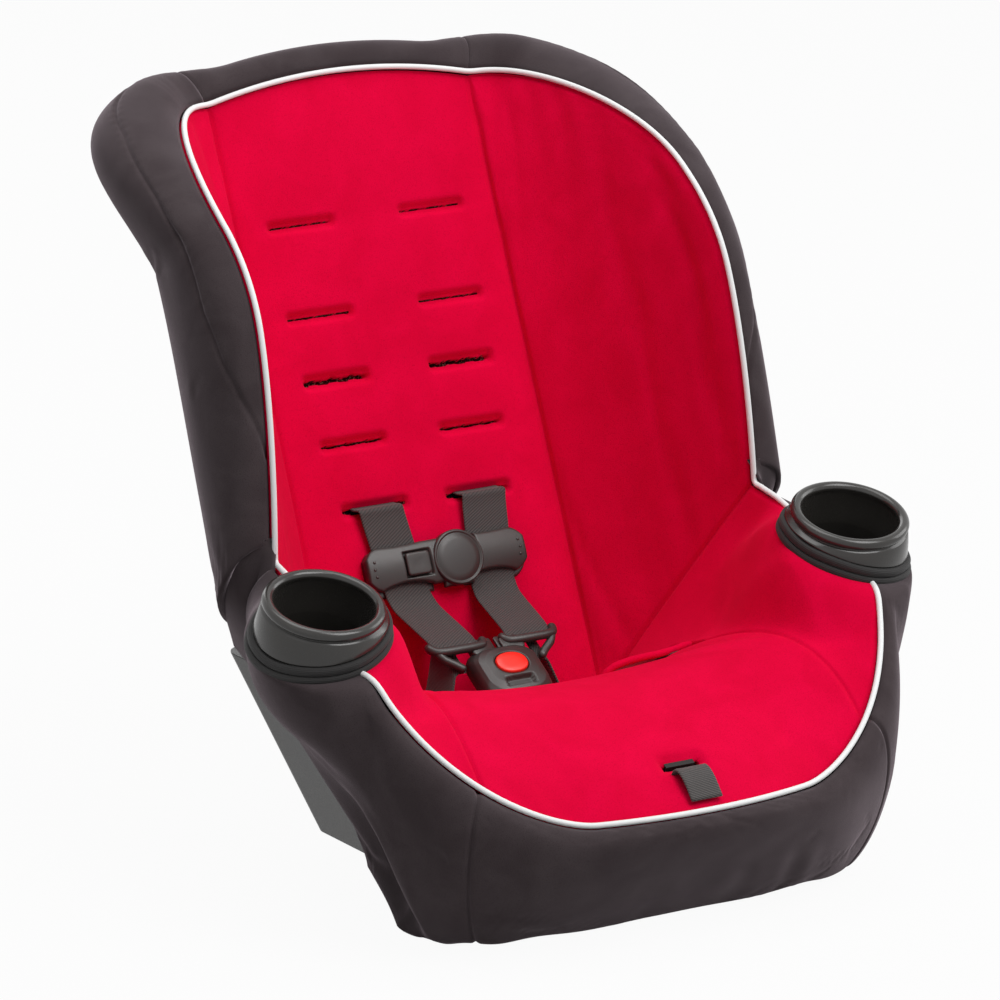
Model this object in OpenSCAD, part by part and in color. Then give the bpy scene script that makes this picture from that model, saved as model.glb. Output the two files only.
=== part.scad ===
// Convertible child car seat: moulded shell on a tub base, sewn padded cover, five-point harness,
// two lift-out cup holders. Millimetres, +Z up, the seat faces -Y, the origin is on the ground
// under the middle of the seat.

/* [Back] */
// Recline of the back from upright
back_angle = 22; // [18:1:26]
// Length of the back panel from the seat crease to its top corners
back_h = 491; // [470:1:530]
// Extra rise of the back panel's top edge at the middle
top_rise = 14; // [4:1:20]
// Width of the middle back panel between its side seams
panel_w = 226; // [200:1:240]
// Crown of the padded back panel
back_crown = 2; // [1:0.5:3]
// Swell of each cover panel between its seams
puff = 2; // [1:0.5:2.5]
// Place of the seat crease, front to back
crease_y = 48; // [40:1:56]
// Height of the seat crease
crease_z = 85; // [78:1:92]

/* [Wings] */
// How far the side wings stand forward of the back panel
wing_depth = 172; // [150:1:190]
// Height along the back where the wings stand furthest forward
wing_peak = 297; // [270:1:320]
// Width over the piping at the wings
wing_span = 388; // [376:1:410]
// Length of the rounded upper corner of a wing
wing_corner = 118; // [100:1:150]
// Height along the back where a wing meets the arm
arm_h = 128; // [115:1:140]
// How far the arm corner stands forward of the back panel
arm_depth = 131; // [120:1:140]
// Width over the piping at the arm corners
arm_span = 408; // [395:1:425]
// Width of the rolled dark border round the back
border_roll = 35; // [28:1:40]
// Depth of the border behind the back panel
border_depth = 50; // [44:1:56]

/* [Seat] */
// Width over the front piping
rim_span = 434; // [420:1:450]
// Reach of the front piping ahead of the cup holders
rim_reach = 140; // [128:1:150]
// Height of the front piping
rim_z = 97; // [90:1:105]
// Fall of the piping from the cup holders to the front
rim_drop = 125; // [110:1:135]
// Height that pulls up the crest of the seat
seat_pull = 244; // [230:1:256]
// Width over the hem of the skirt
hem_span = 362; // [346:1:372]
// Reach of the hem ahead of the cup holders
hem_reach = 87; // [80:1:96]
// Clear height of the hem over the ground
hem_z = 6; // [5:1:12]
// Depth of the waves along the hem
hem_wave = 1.5; // [1:0.5:4]

/* [Cover] */
// Thickness of the padded cover
pad_t = 12; // [9:0.5:14]
// Thickness of the cover at its piped edges
edge_t = 4; // [3:0.5:5]
// Thickness of the dark border and skirts
skirt_t = 6; // [4:0.5:7]
// Diameter of the white piping
piping_d = 5; // [4:0.5:6]

/* [Shell] */
// Wall of the moulded shell and base
wall = 4; // [3:0.5:5]
// Length of the base on the ground
base_l = 282; // [266:1:288]
// Width of the base on the ground
base_w = 252; // [236:1:264]
// Width of the base at its top
base_top_w = 384; // [370:1:392]
// Height of the base
base_h = 162; // [150:1:170]
// Place of the rear end of the base
base_rear = 76; // [68:1:82]
// Diameter of the shell screws
screw_d = 5; // [4:0.5:6]

/* [Cup holders] */
// Distance between the middles of the two cup holders
cup_pitch = 447; // [440:1:456]
// Place of the cup rims, front to back
cup_y = -135; // [-140:1:-130]
// Height of the middle of the cup rims
cup_z = 253; // [248:1:260]
// Forward lean of the cup holders
cup_tilt = 19; // [15:1:22]
// Outer diameter of the cup rim
cup_d = 90; // [88:1:94]
// Opening of the cup at its rim
cup_mouth = 77; // [74:0.5:79]
// Bore of the lower half of the cup
cup_bore = 66; // [62:0.5:70]
// Depth of the cup
cup_depth = 66; // [60:1:70]
// Height of the cup's collar over the cover
collar_h = 30; // [26:1:33]
// Wall of a cup holder
cup_wall = 2.5; // [2:0.5:3]
// Height of the elastic band round a cup
band_h = 10; // [7:1:12]

/* [Harness] */
// Width of the harness webbing
web_w = 38; // [35:1:39]
// Thickness of the webbing
web_t = 1.6; // [1.2:0.1:1.8]
// Width of a harness slot
slot_w = 56; // [50:1:60]
// Height of a harness slot
slot_h = 9; // [8:0.5:11]
// Distance between the shoulder straps where they leave the back
strap_pitch = 90; // [86:1:94]
// Distance between the straps at the buckle
tongue_pitch = 62; // [61:1:66]
// Length of the chest clip
clip_l = 138; // [134:1:146]
// Height of the chest clip
clip_h = 34; // [30:1:38]
// Diameter of the chest clip's round cover
clip_disc = 40; // [36:1:44]
// Height of the chest clip along the back
clip_up = 122; // [119:1:125]
// Width of the buckle
buckle_w = 56; // [54:1:60]
// Length of the buckle
buckle_l = 50; // [46:1:52]
// Thickness of the buckle
buckle_t = 20; // [18:1:21]
// Width of the red button
button_w = 26; // [22:1:30]
// Length of the red button
button_l = 20; // [16:1:21]
// Travel of the red button
button_travel = 4; // [3:0.5:4.5]
// Width of the adjuster webbing
pull_w = 26; // [22:1:28]
// Width of the splitter plate behind the back
splitter_w = 92; // [88:1:100]

/* [Fits] */
// Gap between pieces that touch but are not joined
gap = 0.3; // [0.2:0.05:0.4]
// Gap round pieces that slide
slide_gap = 0.5; // [0.4:0.1:0.7]
// Running gap of the lever on its pin
pin_gap = 0.05; // [0.03:0.01:0.08]

/* [Hidden] */
$fn = 48;
step = 0.01;

// Curves and small helpers
function mix(a, b, t) = a + (b - a) * t;
function bez2(a, b, c, t) = a * (1 - t) ^ 2 + 2 * b * t * (1 - t) + c * t ^ 2;
function bez3(a, b, c, d, t) =
    a * (1 - t) ^ 3 + 3 * b * t * (1 - t) ^ 2 + 3 * c * t ^ 2 * (1 - t) + d * t ^ 3;
function clamp01(t) = max(0, min(1, t));
function ease(t) = let (c = clamp01(t)) c * c * (3 - 2 * c);
function unit(v) = v / norm(v);
function flip(p, s) = [p.x * s, p.y, p.z];
function steps(a, b, n) = [for (i = [0:n]) mix(a, b, i / n)];

// A point given across the seat, up along the back and forward of the back panel
function on_back(p) = [p.x, crease_y + p.y * sin(back_angle) - p.z * cos(back_angle),
    crease_z + p.y * cos(back_angle) + p.z * sin(back_angle)];

// Piped edge of a wing, from the panel's top corner (0) to the arm corner (1), in back measures
function wing_rim_x(h) = let (down = back_h - h, rest = back_h - arm_h - wing_corner)
    panel_w / 2 + (wing_span - panel_w) / 2 * sin(90 * min(1, down / wing_corner)) ^ 0.45
    + (arm_span - wing_span) / 2 * max(0, down - wing_corner) / rest;
function wing_rim_d(h) = h > wing_peak
    ? wing_depth * sin(90 * (back_h - h) / (back_h - wing_peak)) ^ 0.78
    : wing_depth - (wing_depth - arm_depth) * ((wing_peak - h) / (wing_peak - arm_h)) ^ 1.6;
function wing_rim(v) = let (h = back_h - (back_h - arm_h) * v ^ 1.3)
    [wing_rim_x(h), h, wing_rim_d(h)];
arm_corner = on_back(wing_rim(1));
crease_end = on_back([panel_w / 2, 0, 0]);

// Piped front edge of the seat, by its angle from the side (0) to the middle of the front (90)
front_seam = 42.5;
cup_seam = 8;
low_seam = 66;
rim_y = cup_y - 15;
function front_rim(a) = [rim_span / 2 * cos(a), rim_y - rim_reach * sin(a),
    rim_z + rim_drop * max(0, (low_seam - a) / (low_seam - cup_seam)) ^ 1.55];

// Outer edge of the bolster: along the arm to the cup, then down the front piping to the seam
arm_share = 0.5;
function bolster_rim(w) = w < arm_share
    ? mix(arm_corner, front_rim(cup_seam), w / arm_share)
    : front_rim(mix(cup_seam, front_seam, (w - arm_share) / (1 - arm_share)));

// Seat panel: its middle line and its side seam, from the crease (0) to the front piping (1)
function seat_mid(w) = let (front = front_rim(90))
    bez3([0, crease_y, crease_z], [0, crease_y - 108, crease_z - 3],
        [0, front.y + 172, seat_pull], front, w);
function seat_side(w) = let (front = front_rim(front_seam))
    bez3(crease_end, [panel_w / 2 + 7, crease_y - 108, crease_z + 62],
        [front.x - 2, front.y + 85, seat_pull - 19], front, w);

// The whole inner face of the cover: u -1..1 the middle, 1..2 a side; v 0..1 the back, 1..2 the seat
crease_pull = on_back([panel_w / 2 + 46, arm_h * 0.46, arm_depth * 0.3]);
function back_mid(u, v) = on_back([u * panel_w / 2, (back_h + top_rise * (1 - u * u)) * (1 - v),
    back_crown * (1 - u * u) * sin(180 * clamp01(v)) ^ 0.5]);
function wing_face(t, v) = let (rim = wing_rim(v), seam_h = back_h * (1 - v),
    pull = on_back([mix(panel_w / 2, rim.x, 0.58), mix(seam_h, rim.y, 0.5), rim.z * 0.24]))
    bez2(on_back([panel_w / 2, seam_h, 0]), mix(pull, crease_pull, v ^ 6), on_back(rim), t);
function seat_face(u, w) = let (side = seat_side(w), m = seat_mid(w))
    [u * side.x, mix(m.y, side.y, u * u), mix(m.z, side.z, u * u)];
function bolster_face(t, w) = let (a = seat_side(w), b = bolster_rim(w),
    pull = mix(a, b, 0.5) + [8, 0, -8] * (1 - w))
    bez2(a, mix(crease_pull, pull, ease(3 * w)), b, t);
function side_face(t, v) = v <= 1 ? wing_face(t, v) : bolster_face(t, v - 1);
function face(u, v) = abs(u) <= 1
    ? (v <= 1 ? back_mid(u, v) : seat_face(u, v - 1))
    : flip(side_face(abs(u) - 1, v), sign(u));
cover_face = function(u, v) face(u, v);

// Thickness and swell of the cover: thin along the piping, swollen between the seams
function cover_t(u, v) = mix(edge_t, pad_t, ease(min((2 - abs(u)) / 0.25, v / 0.08, (2 - v) / 0.12)));
function swell(u, v) = let (a = abs(u) <= 1 ? (u + 1) / 2 : abs(u) - 1, b = v <= 1 ? v : v - 1)
    -puff * sqrt(clamp01(sin(180 * a)) * clamp01(sin(180 * b)));

// Rolled border outside the wings: s 0 at the top middle, 1 at the arm; t 0 at the piping, 1 behind
top_share = 0.3;
arm_droop = 50;
wing_back = 99;
function border_rim(s) = s <= top_share
    ? let (x = s / top_share) [x * panel_w / 2, back_h + top_rise * (1 - x * x), 0]
    : wing_rim((s - top_share) / (1 - top_share));
function border_out(s) = let (a = border_rim(max(0, s - step)), b = border_rim(min(1, s + step)),
    d = unit([b.x - a.x, b.y - a.y])) [-d.y, d.x, 0];
function border_face(s, t) = let (
    out = border_out(s),
    rim = border_rim(s) + out * (edge_t + gap),
    droop = [0, -arm_droop * ease((s - 0.7) / 0.3), 0],
    low = ease((s - 0.37) / 0.26),
    corner = ease((s - 0.24) / 0.24),
    full = border_roll * mix(mix(1, 3.6, corner), 2.1, low),
    round_back = [rim.x, rim.y, mix(-border_depth * mix(1, 0.36, corner), wing_back, low)],
    behind = mix([rim.x, rim.y, -border_depth * 1.1] - out * border_roll * 0.97,
        [panel_w / 2 + 26, rim.y, -border_depth * 0.64], low))
    on_back(bez3(rim, rim + out * border_roll + [0, 0, 6],
        round_back + out * full + droop, behind + droop, t));
function right_border_face(s, t) = border_face(s, t);
function left_border_face(s, t) = flip(border_face(-s, t), -1);
function whole_border_face(s, t) = s < 0 ? left_border_face(s, t) : right_border_face(s, t);

// Skirt under the bolsters and the front: w 0 at the arm, 1 at the front seam, 2 at the middle
hem_start = -22;
hem_end = [145, -42, 18];
hem_square = 0.5;
cup_bulge = 154;
cup_tuck = 118;
border_end = 0.98;
skirt_start = 0.02;
function skirt_angle(w, first) = w <= 1 ? mix(first, front_seam, w) : mix(front_seam, 90, w - 1);
function skirt_top(w) = w <= 1 ? bolster_rim(w) : front_rim(skirt_angle(w, 0));
function hem(w) = let (a = skirt_angle(w, hem_start), wave = hem_wave * sin(a * 12))
    a < 0 ? mix([hem_span / 2, rim_y, hem_z], hem_end, a / hem_start) + [wave, 0, wave * 0.5]
        : [(hem_span / 2 + wave) * cos(a) ^ hem_square, rim_y - (hem_reach + wave) * sin(a) ^ hem_square,
            hem_z + wave];
function skirt_face(w, t) = let (
    turn = w <= 1 ? mix(0, front_seam, ease((w - 0.3) / 0.7)) : skirt_angle(w, 0),
    out = [cos(turn), -sin(turn), 0],
    near_cup = ease(max(0, 1 - abs(w - 0.31) / 0.31)),
    along = ease(w / 0.5),
    rear = 1 - ease(w / 0.4),
    top = skirt_top(w) + out * (edge_t + gap + skirt_t * mix(0.4, 1.1, rear)),
    high = top + out * (25 + cup_bulge * near_cup) - [0, 0, 6] + [7, 65, -48] * rear,
    low = hem(w) + out * (mix(26, 34, along) - cup_tuck * near_cup)
        + [0, mix(-38, 0, along), mix(72, 30, along) + 22 * near_cup])
    bez3(top, high, low, hem(w), t);
function whole_skirt_face(w, t) = w > 2 ? flip(skirt_face(4 - w, t), -1) : skirt_face(w, t);

// A closed solid between two faces that share their grid of places
module between(near, far, as, bs) {
    na = len(as) - 1;
    nb = len(bs) - 1;
    count = (na + 1) * (nb + 1);
    points = [for (a = as, b = bs) near(a, b), for (a = as, b = bs) far(a, b)];
    at = function(i, j) i * (nb + 1) + j;
    rim = [for (i = [0:na - 1]) [i, 0], for (j = [0:nb - 1]) [na, j], for (i = [na:-1:1]) [i, nb],
        for (j = [nb:-1:1]) [0, j]];
    polyhedron(points, [
        for (i = [0:na - 1], j = [0:nb - 1]) each [
            [at(i, j), at(i + 1, j), at(i, j + 1)],
            [at(i + 1, j), at(i + 1, j + 1), at(i, j + 1)],
            [count + at(i, j), count + at(i, j + 1), count + at(i + 1, j)],
            [count + at(i + 1, j), count + at(i, j + 1), count + at(i + 1, j + 1)]],
        for (k = [0:len(rim) - 1])
            let (p = rim[k], q = rim[(k + 1) % len(rim)], m = at(p.x, p.y), n = at(q.x, q.y))
            each k < na + nb ? [[m, count + m, n], [n, count + m, count + n]]
                : [[m, count + m, count + n], [m, count + n, n]]]);
}

// A face set back by a depth along its normal
function normal(f, a, b) = unit(cross(f(a, b + step) - f(a, b - step), f(a + step, b) - f(a - step, b)));
function set_back(f, depth, a_ends, b_ends) = let (inset = 3 * step)
    function(a, b) f(a, b) - depth(a, b) * normal(f, min(max(a, a_ends[0] + inset), a_ends[1] - inset),
        min(max(b, b_ends[0] + inset), b_ends[1] - inset));

module cover_panel(us, vs, front, back) {
    between(set_back(cover_face, front, [-2, 2], [0, 2]), set_back(cover_face, back, [-2, 2], [0, 2]), us, vs);
}
module sheet(f, a_ends, as, bs) {
    between(set_back(f, function(a, b) -skirt_t, a_ends, [0, 1]), f, as, bs);
}

// Places of the cups and what is cut clear of them
module at_cup(side) translate([side * cup_pitch / 2, cup_y, cup_z]) rotate([cup_tilt, 0, 0]) children();
cup_foot_r = cup_bore / 2 + cup_wall;
cup_neck_r = cup_mouth / 2 + 1;
cup_neck = -collar_h - band_h;
band_r = cup_d / 2 + 6;
cut_h = 60;
draft = 2;
socket_top = cup_neck - 10;
function cup_r(z) = mix(cup_foot_r, cup_neck_r, (z + cup_depth) / (cup_depth + cup_neck));
module cup_cone(grow, below, top) translate([0, 0, -cup_depth - below])
    cylinder(r1 = cup_r(-cup_depth - below) + grow, r2 = cup_r(top) + grow, h = cup_depth + below + top);
module cup_room(side) at_cup(side) {
    cup_cone(slide_gap + cup_wall + gap, 3 * cup_wall, cup_neck - gap);
    translate([0, 0, cup_neck - gap]) cylinder(r1 = band_r + gap, r2 = band_r + gap + draft, h = cut_h);
}

// Harness slots: heights up the back from the crease, and where their middles lie across
slot_rows = [171, 222, 272, 322, 393];
slot_pitch = [strap_pitch, 103, 109, 114, 114];
module harness_slots() {
    for (i = [0:len(slot_rows) - 1], side = [-1, 1])
        translate(on_back([side * slot_pitch[i] / 2, slot_rows[i], 0]))
            cube([slot_w, 120, slot_h], center = true);
}

// Frame of the buckle: local y up along the harness, local z out of the button
harness_tilt = 32;
buckle_at = [0, -12, 143];
module in_harness() translate(buckle_at) rotate([harness_tilt, 0, 0]) children();
function harness_point(p) = buckle_at + [p.x, p.y * cos(harness_tilt) - p.z * sin(harness_tilt),
    p.y * sin(harness_tilt) + p.z * cos(harness_tilt)];
crotch_y = -38;

// Frame of the chest clip: local y up the back, local z off the back, at the middle of the webbing
web_d = 8;
module in_clip() translate(on_back([0, clip_up, web_d])) rotate([90 - back_angle, 0, 0]) children();

// Frame of the adjuster in the front of the seat: local z out of the cover
adjuster_w = 0.93;
adjuster_tilt = 30;
adjuster_at = seat_mid(adjuster_w);
module in_adjuster() translate(adjuster_at) rotate([adjuster_tilt, 0, 0]) children();
function adjuster_point(p) = adjuster_at + [p.x, p.y * cos(adjuster_tilt) - p.z * sin(adjuster_tilt),
    p.y * sin(adjuster_tilt) + p.z * cos(adjuster_tilt)];
adjuster_slot = [pull_w + 8, 22];

// Slots through the seat for the crotch strap, the lap straps and the adjuster
lap_at = [128, -46, 128];
module seat_slots() {
    translate([0, crotch_y, crease_z]) cube([web_w + 8, 12, 120], center = true);
    for (side = [-1, 1]) translate(flip(lap_at, side)) cube([14, web_w + 8, 120], center = true);
    in_adjuster() cube([adjuster_slot.x, adjuster_slot.y, 90], center = true);
}

// A plate with rounded corners, standing on its lower face
module plate(size, r) for (part = [[size.x - 2 * r, size.y], [size.x, size.y - 2 * r]]) {
    translate([-part.x / 2, -part.y / 2, 0]) cube([part.x, part.y, size.z]);
    for (x = [-1, 1], y = [-1, 1]) translate([x * (size.x / 2 - r), y * (size.y / 2 - r), 0])
        cylinder(r = r, h = size.z);
}

// A round tube along a list of points
module tube(path, r, sides) {
    last = len(path) - 1;
    ring = [for (i = [0:last]) let (d = unit(path[min(last, i + 1)] - path[max(0, i - 1)]),
        a = unit(cross(d, abs(d.z) < 0.9 ? [0, 0, 1] : [0, 1, 0])), b = cross(d, a))
        for (k = [0:sides - 1]) path[i] + r * (a * cos(360 * k / sides) + b * sin(360 * k / sides))];
    polyhedron(ring, [[for (k = [0:sides - 1]) k],
        for (i = [0:last - 1], k = [0:sides - 1]) let (m = (k + 1) % sides, a = i * sides, b = a + sides)
            each [[a + k, b + k, a + m], [a + m, b + k, b + m]],
        [for (k = [sides - 1:-1:0]) last * sides + k]]);
}

// Flat webbing along a list of [point, direction across its width]
module webbing(path, w, t) {
    last = len(path) - 1;
    ring = [for (i = [0:last]) let (p = path[i][0], across = unit(path[i][1]),
        along = unit(path[min(last, i + 1)][0] - path[max(0, i - 1)][0]),
        up = unit(cross(along, across)))
        each [p + across * w / 2 + up * t / 2, p - across * w / 2 + up * t / 2,
            p - across * w / 2 - up * t / 2, p + across * w / 2 - up * t / 2]];
    polyhedron(ring, [[0, 1, 2], [0, 2, 3],
        for (i = [0:last - 1], k = [0:3]) let (m = (k + 1) % 4, a = 4 * i, b = a + 4)
            each [[a + k, b + k, a + m], [a + m, b + k, b + m]],
        [4 * last + 2, 4 * last + 1, 4 * last], [4 * last + 3, 4 * last + 2, 4 * last]]);
}

// Base: a tapered tub with two ribs under the seat pan, open for the belt at both sides
rib_x = 80;
pod_low = base_w / 2 + 14;
pod_high = base_top_w / 2 - 10;
boss_y = [-150, -60];
module base_form(inset, top) hull() {
    translate([0, base_rear - base_l / 2, inset])
        plate([base_w - 44 - 2 * inset, base_l - 30 - 2 * inset, 1], 14);
    translate([0, base_rear - base_l / 2, 14 + inset / 2])
        plate([base_w - 2 * inset, base_l - 2 * inset, 1], 16);
    translate([0, base_rear - base_l / 2 + 4, top - 1])
        plate([base_top_w - 2 * inset, base_l + 14 - 2 * inset, 1], 18);
}
function pan_under(x, w) = let (u = x / seat_side(w).x, f = function(a, b) face(a, b))
    face(u, 1 + w) - (shell_far + gap) * normal(f, u, 1 + w);
function pan_z(x, y) = let (ws = steps(0.1, 0.9, 40), ps = [for (w = ws) pan_under(x, w)])
    lookup(y, [for (i = [len(ps) - 1:-1:0]) [ps[i].y, ps[i].z]]);
module base() color("dimgray") difference() {
    union() {
        difference() {
            base_form(0, base_h);
            base_form(wall, base_h + wall);
            rotate([90, 0, 0]) linear_extrude(800, center = true) polygon([[-pod_low, 58], [pod_low, 58],
                [pod_high, base_h], [pod_high, 400], [-pod_high, 400], [-pod_high, base_h]]);
            translate([-300, -450, 110]) cube([600, 270, 300]);
        }
        for (side = [-1, 1]) {
            translate([side * rib_x - wall / 2, 0, 0]) rotate([90, 0, 90]) linear_extrude(wall)
                polygon([[0, wall / 2], [-180, wall / 2],
                    for (y = [-180:12:0]) [y, pan_z(rib_x, y) - 2 * gap]]);
            for (y = boss_y) translate([side * rib_x, y, wall / 2])
                cylinder(r = 8, h = pan_z(rib_x, y) - 10);
        }
    }
    for (side = [-1, 1], y = boss_y) translate([side * rib_x, y, -1]) {
        cylinder(d = screw_d + 2 * gap, h = 300);
        cylinder(d = 2 * screw_d + 2, h = pan_z(rib_x, y) - 29);
    }
    translate([-pull_w / 2 - 4, base_rear - 30, 40]) cube([pull_w + 8, 60, 60]);
    translate([-300, -78, 72]) rotate([90, 0, 90]) plate([76, 46, 600], 12);
}

// Screws up through the base into the seat pan
module shell_screws() color("silver") for (side = [-1, 1], y = boss_y)
    translate([side * rib_x, y, pan_z(rib_x, y) - 30 - screw_d * 0.6]) {
        cylinder(d = 2 * screw_d, h = screw_d * 0.6 - gap);
        cylinder(d = screw_d, h = 30 + screw_d * 0.6 + 2);
    }

// Rows and columns that the shell and the panels of the cover share
mid_cols = steps(-1, 1, 10);
side_cols = [1.12, 1.25, 1.4, 1.55, 1.7, 1.8];
side_down = [for (i = [len(side_cols) - 1:-1:0]) side_cols[i]];
back_rows = steps(0.06, 1, 12);
seat_rows = [for (i = [1:11]) mix(1, 1.88, i / 11)];

// Shell: the bucket moulding, with the two cup sockets
shell_near = pad_t + gap;
shell_far = shell_near + wall;
module seat_shell() color("dimgray") difference() {
    union() {
        cover_panel([each -1 * side_down, each mid_cols, each side_cols], [each back_rows, each seat_rows],
            function(u, v) shell_near, function(u, v) shell_far);
        for (side = [-1, 1]) at_cup(side) cup_cone(slide_gap + cup_wall, 2 * cup_wall, socket_top);
    }
    for (side = [-1, 1]) at_cup(side) {
        cup_cone(slide_gap, slide_gap, cup_neck);
        translate([0, 0, socket_top]) cylinder(r1 = band_r + draft, r2 = band_r + 2 * draft, h = cut_h);
    }
    for (side = [-1, 1], y = boss_y) translate([side * rib_x, y, 60]) cylinder(d = screw_d + 2 * gap, h = 100);
    harness_slots();
    seat_slots();
}

// Foam blocks between the shell and the border of each wing
border_rows = 18;
foam_gap = 6;
module wing_foam(side) color("white") {
    rows = [for (i = [2:border_rows - 1]) (side > 0 ? i : border_rows + 1 - i) / border_rows];
    wing = function(t, v) flip(wing_face(t, v), side);
    edge = function(s, t) flip(border_face(s, t), side);
    inner = function(v, b) let (t = mix(0.76, 0.2, b))
        wing(t, v) - side * (shell_far + 3 * gap) * normal(wing, t, v);
    outer = function(v, b) let (s = mix(top_share, border_end, v), t = mix(0.375, 0.75, b))
        edge(s, t) + side * (skirt_t + foam_gap) * normal(edge, s, t);
    between(outer, inner, rows, steps(0, 1, 3));
}

// Padded cover, sewn from panels that meet at their seams
front_of = function(u, v) swell(u, v);
back_of = function(u, v) cover_t(u, v);
module back_pad() color("crimson") difference() {
    cover_panel(mid_cols, [0, each back_rows], front_of, back_of);
    harness_slots();
}
right_cols = [1, each side_cols, 1.92, 2];
left_cols = [-2, -1.92, each -1 * side_down, -1];
module wing_pad(side) color("crimson")
    cover_panel(side > 0 ? right_cols : left_cols, [0.03, each back_rows], front_of, back_of);
module seat_pad() color("crimson") difference() {
    cover_panel(mid_cols, [1, each seat_rows, 1.94, 2], front_of, back_of);
    seat_slots();
}
module bolster_pad(side) color("crimson") difference() {
    cover_panel(side > 0 ? right_cols : left_cols, [1, each seat_rows, 1.94, 1.98], front_of, back_of);
    cup_room(side);
    seat_slots();
}

// Dark border rolled over the edges of the back and wings, and the skirt below the seat
// Places along a side's border lie closer together at the tight corner by the head
function side_places(side, last) = [for (i = [0:border_rows]) let (k = side > 0 ? i : border_rows - i)
    side * mix(top_share, last, (k / border_rows) ^ 1.5)];
module border(places) color("dimgray")
    sheet(function(s, t) whole_border_face(s, t), [-1, 1], places, steps(0, 1, 8));
module skirt(w0, w1, n) color("dimgray") difference() {
    sheet(function(w, t) whole_skirt_face(w, t), [0, 4], steps(w0, w1, n), steps(0, 1, 8));
    for (side = [-1, 1]) cup_room(side);
}

// White piping along the edges of the red panels
piping_off = (edge_t + gap) / 2;
piping_lift = piping_d / 2 + 0.6;
function upper_piping_at(s) = let (a = abs(s))
    flip(on_back(border_rim(a) + border_out(a) * piping_off + [0, 0, piping_lift]), s < 0 ? -1 : 1);
function lower_piping_at(a) = let (b = a > 90 ? 180 - a : a)
    flip(front_rim(b) + [cos(b), -sin(b), 0] * piping_off + [0, 0, piping_lift], a > 90 ? -1 : 1);
module upper_piping() color("white")
    tube([for (s = [each side_places(-1, 1), for (i = [1:15]) mix(-top_share, top_share, i / 16),
        each side_places(1, 1)]) upper_piping_at(s)], piping_d / 2, 8);
module lower_piping() color("white")
    tube([for (a = steps(cup_seam + 8, 172 - cup_seam, 40)) lower_piping_at(a)], piping_d / 2, 8);

// Elastic band of the cover round a cup
module cup_band(side) color("black") at_cup(side) rotate_extrude() difference() {
    translate([cup_neck_r + slide_gap, cup_neck]) square([band_r - cup_neck_r - slide_gap, band_h - gap]);
    for (z = [0.25, 0.5, 0.75]) translate([band_r, cup_neck + z * band_h]) circle(d = 1.5, $fn = 16);
}

// Cup holder: rolled rim, outer collar and stepped cup, in one moulding
module cup(side) color("#1c1c1c") at_cup(side) rotate_extrude() {
    rim_r = (cup_d - cup_mouth) / 4;
    polygon([for (a = [-12:12:192]) [cup_d / 2 - rim_r + rim_r * cos(a), -rim_r + rim_r * sin(a)],
        [cup_bore / 2, cup_wall - cup_depth / 2], [cup_bore / 2, cup_wall - cup_depth],
        [0, cup_wall - cup_depth], [0, -cup_depth], [cup_foot_r, -cup_depth], [cup_neck_r, cup_neck],
        [cup_neck_r, -2 * rim_r - 3], [cup_d / 2 + 0.6, -collar_h], [cup_d / 2 + 3, -collar_h]]);
}

// Shoulder straps: from the tongue up to the chest clip, up the back and through the lowest slots
tongue_n = -7;
tongue_u = [22.4, 38];
strap_end_u = 27;
slot_mid = on_back([strap_pitch / 2, slot_rows[0], 0]);
function strap_x(t) = mix(tongue_pitch, strap_pitch, t) / 2;
shoulder_path = [harness_point([strap_x(0), strap_end_u, tongue_n]),
    harness_point([strap_x(0.1), tongue_u[1] + 2, tongue_n]), on_back([strap_x(0.35), 82, 14]),
    on_back([strap_x(0.4), 90, web_d]), on_back([strap_x(0.9), 160, web_d]),
    slot_mid + [0, -9, 0.5], slot_mid + [0, 0, 0], slot_mid + [0, 28, 0]];
across_x = [1, 0, 0];
module shoulder_strap(side) color("#3a3a3c")
    webbing([for (p = shoulder_path) [flip(p, side), across_x]], web_w, web_t);

// The straps' tails behind the back, down to the splitter plate
splitter_h = 92;
behind_d = -28;
tail_path = [slot_mid + [0, 28 + gap, 0], slot_mid + [0, 31, 0], on_back([strap_x(0.98), slot_rows[0] - 8, behind_d - 2]),
    on_back([strap_x(0.6), 130, behind_d]), on_back([splitter_w / 4, splitter_h + gap, behind_d])];
module strap_tail(side) color("#3a3a3c")
    webbing([for (p = tail_path) [flip(p, side), across_x]], web_w, web_t);

// Splitter plate that joins both tails to the adjuster webbing
module splitter_plate() color("silver")
    translate(on_back([0, splitter_h, behind_d])) rotate([90 - back_angle, 0, 0])
        translate([0, -20, -1.25]) difference() {
            plate([splitter_w, 40, 2.5], 6);
            for (side = [-1, 1]) translate([side * splitter_w / 4, 13, -1]) plate([web_w + 2, 5, 5], 2);
            translate([0, -13, -1]) plate([pull_w + 2, 5, 5], 2);
        }

// Adjuster webbing under the seat and its tail out of the front
adjuster_in = [-6, -62];
pull_path = [on_back([0, splitter_h - 41, behind_d]), [0, base_rear + 22, 74], [0, base_rear - 24, 62],
    [0, -60, 60], [0, -150, 60], adjuster_point([0, adjuster_in.x, adjuster_in.y - 8]),
    adjuster_point([0, adjuster_in.x, adjuster_in.y - gap])];
module adjuster_strap() color("#3a3a3c") webbing([for (p = pull_path) [p, across_x]], pull_w, web_t);
module adjuster_tail() color("#2c2c2e")
    webbing([for (p = [adjuster_in, [-6, -20], [-6, 1], [-8, 4.5], [-13, 6], [-22, 5], [-36, 0]])
        [adjuster_point([0, p.x, p.y]), across_x]], pull_w, web_t);

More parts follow.
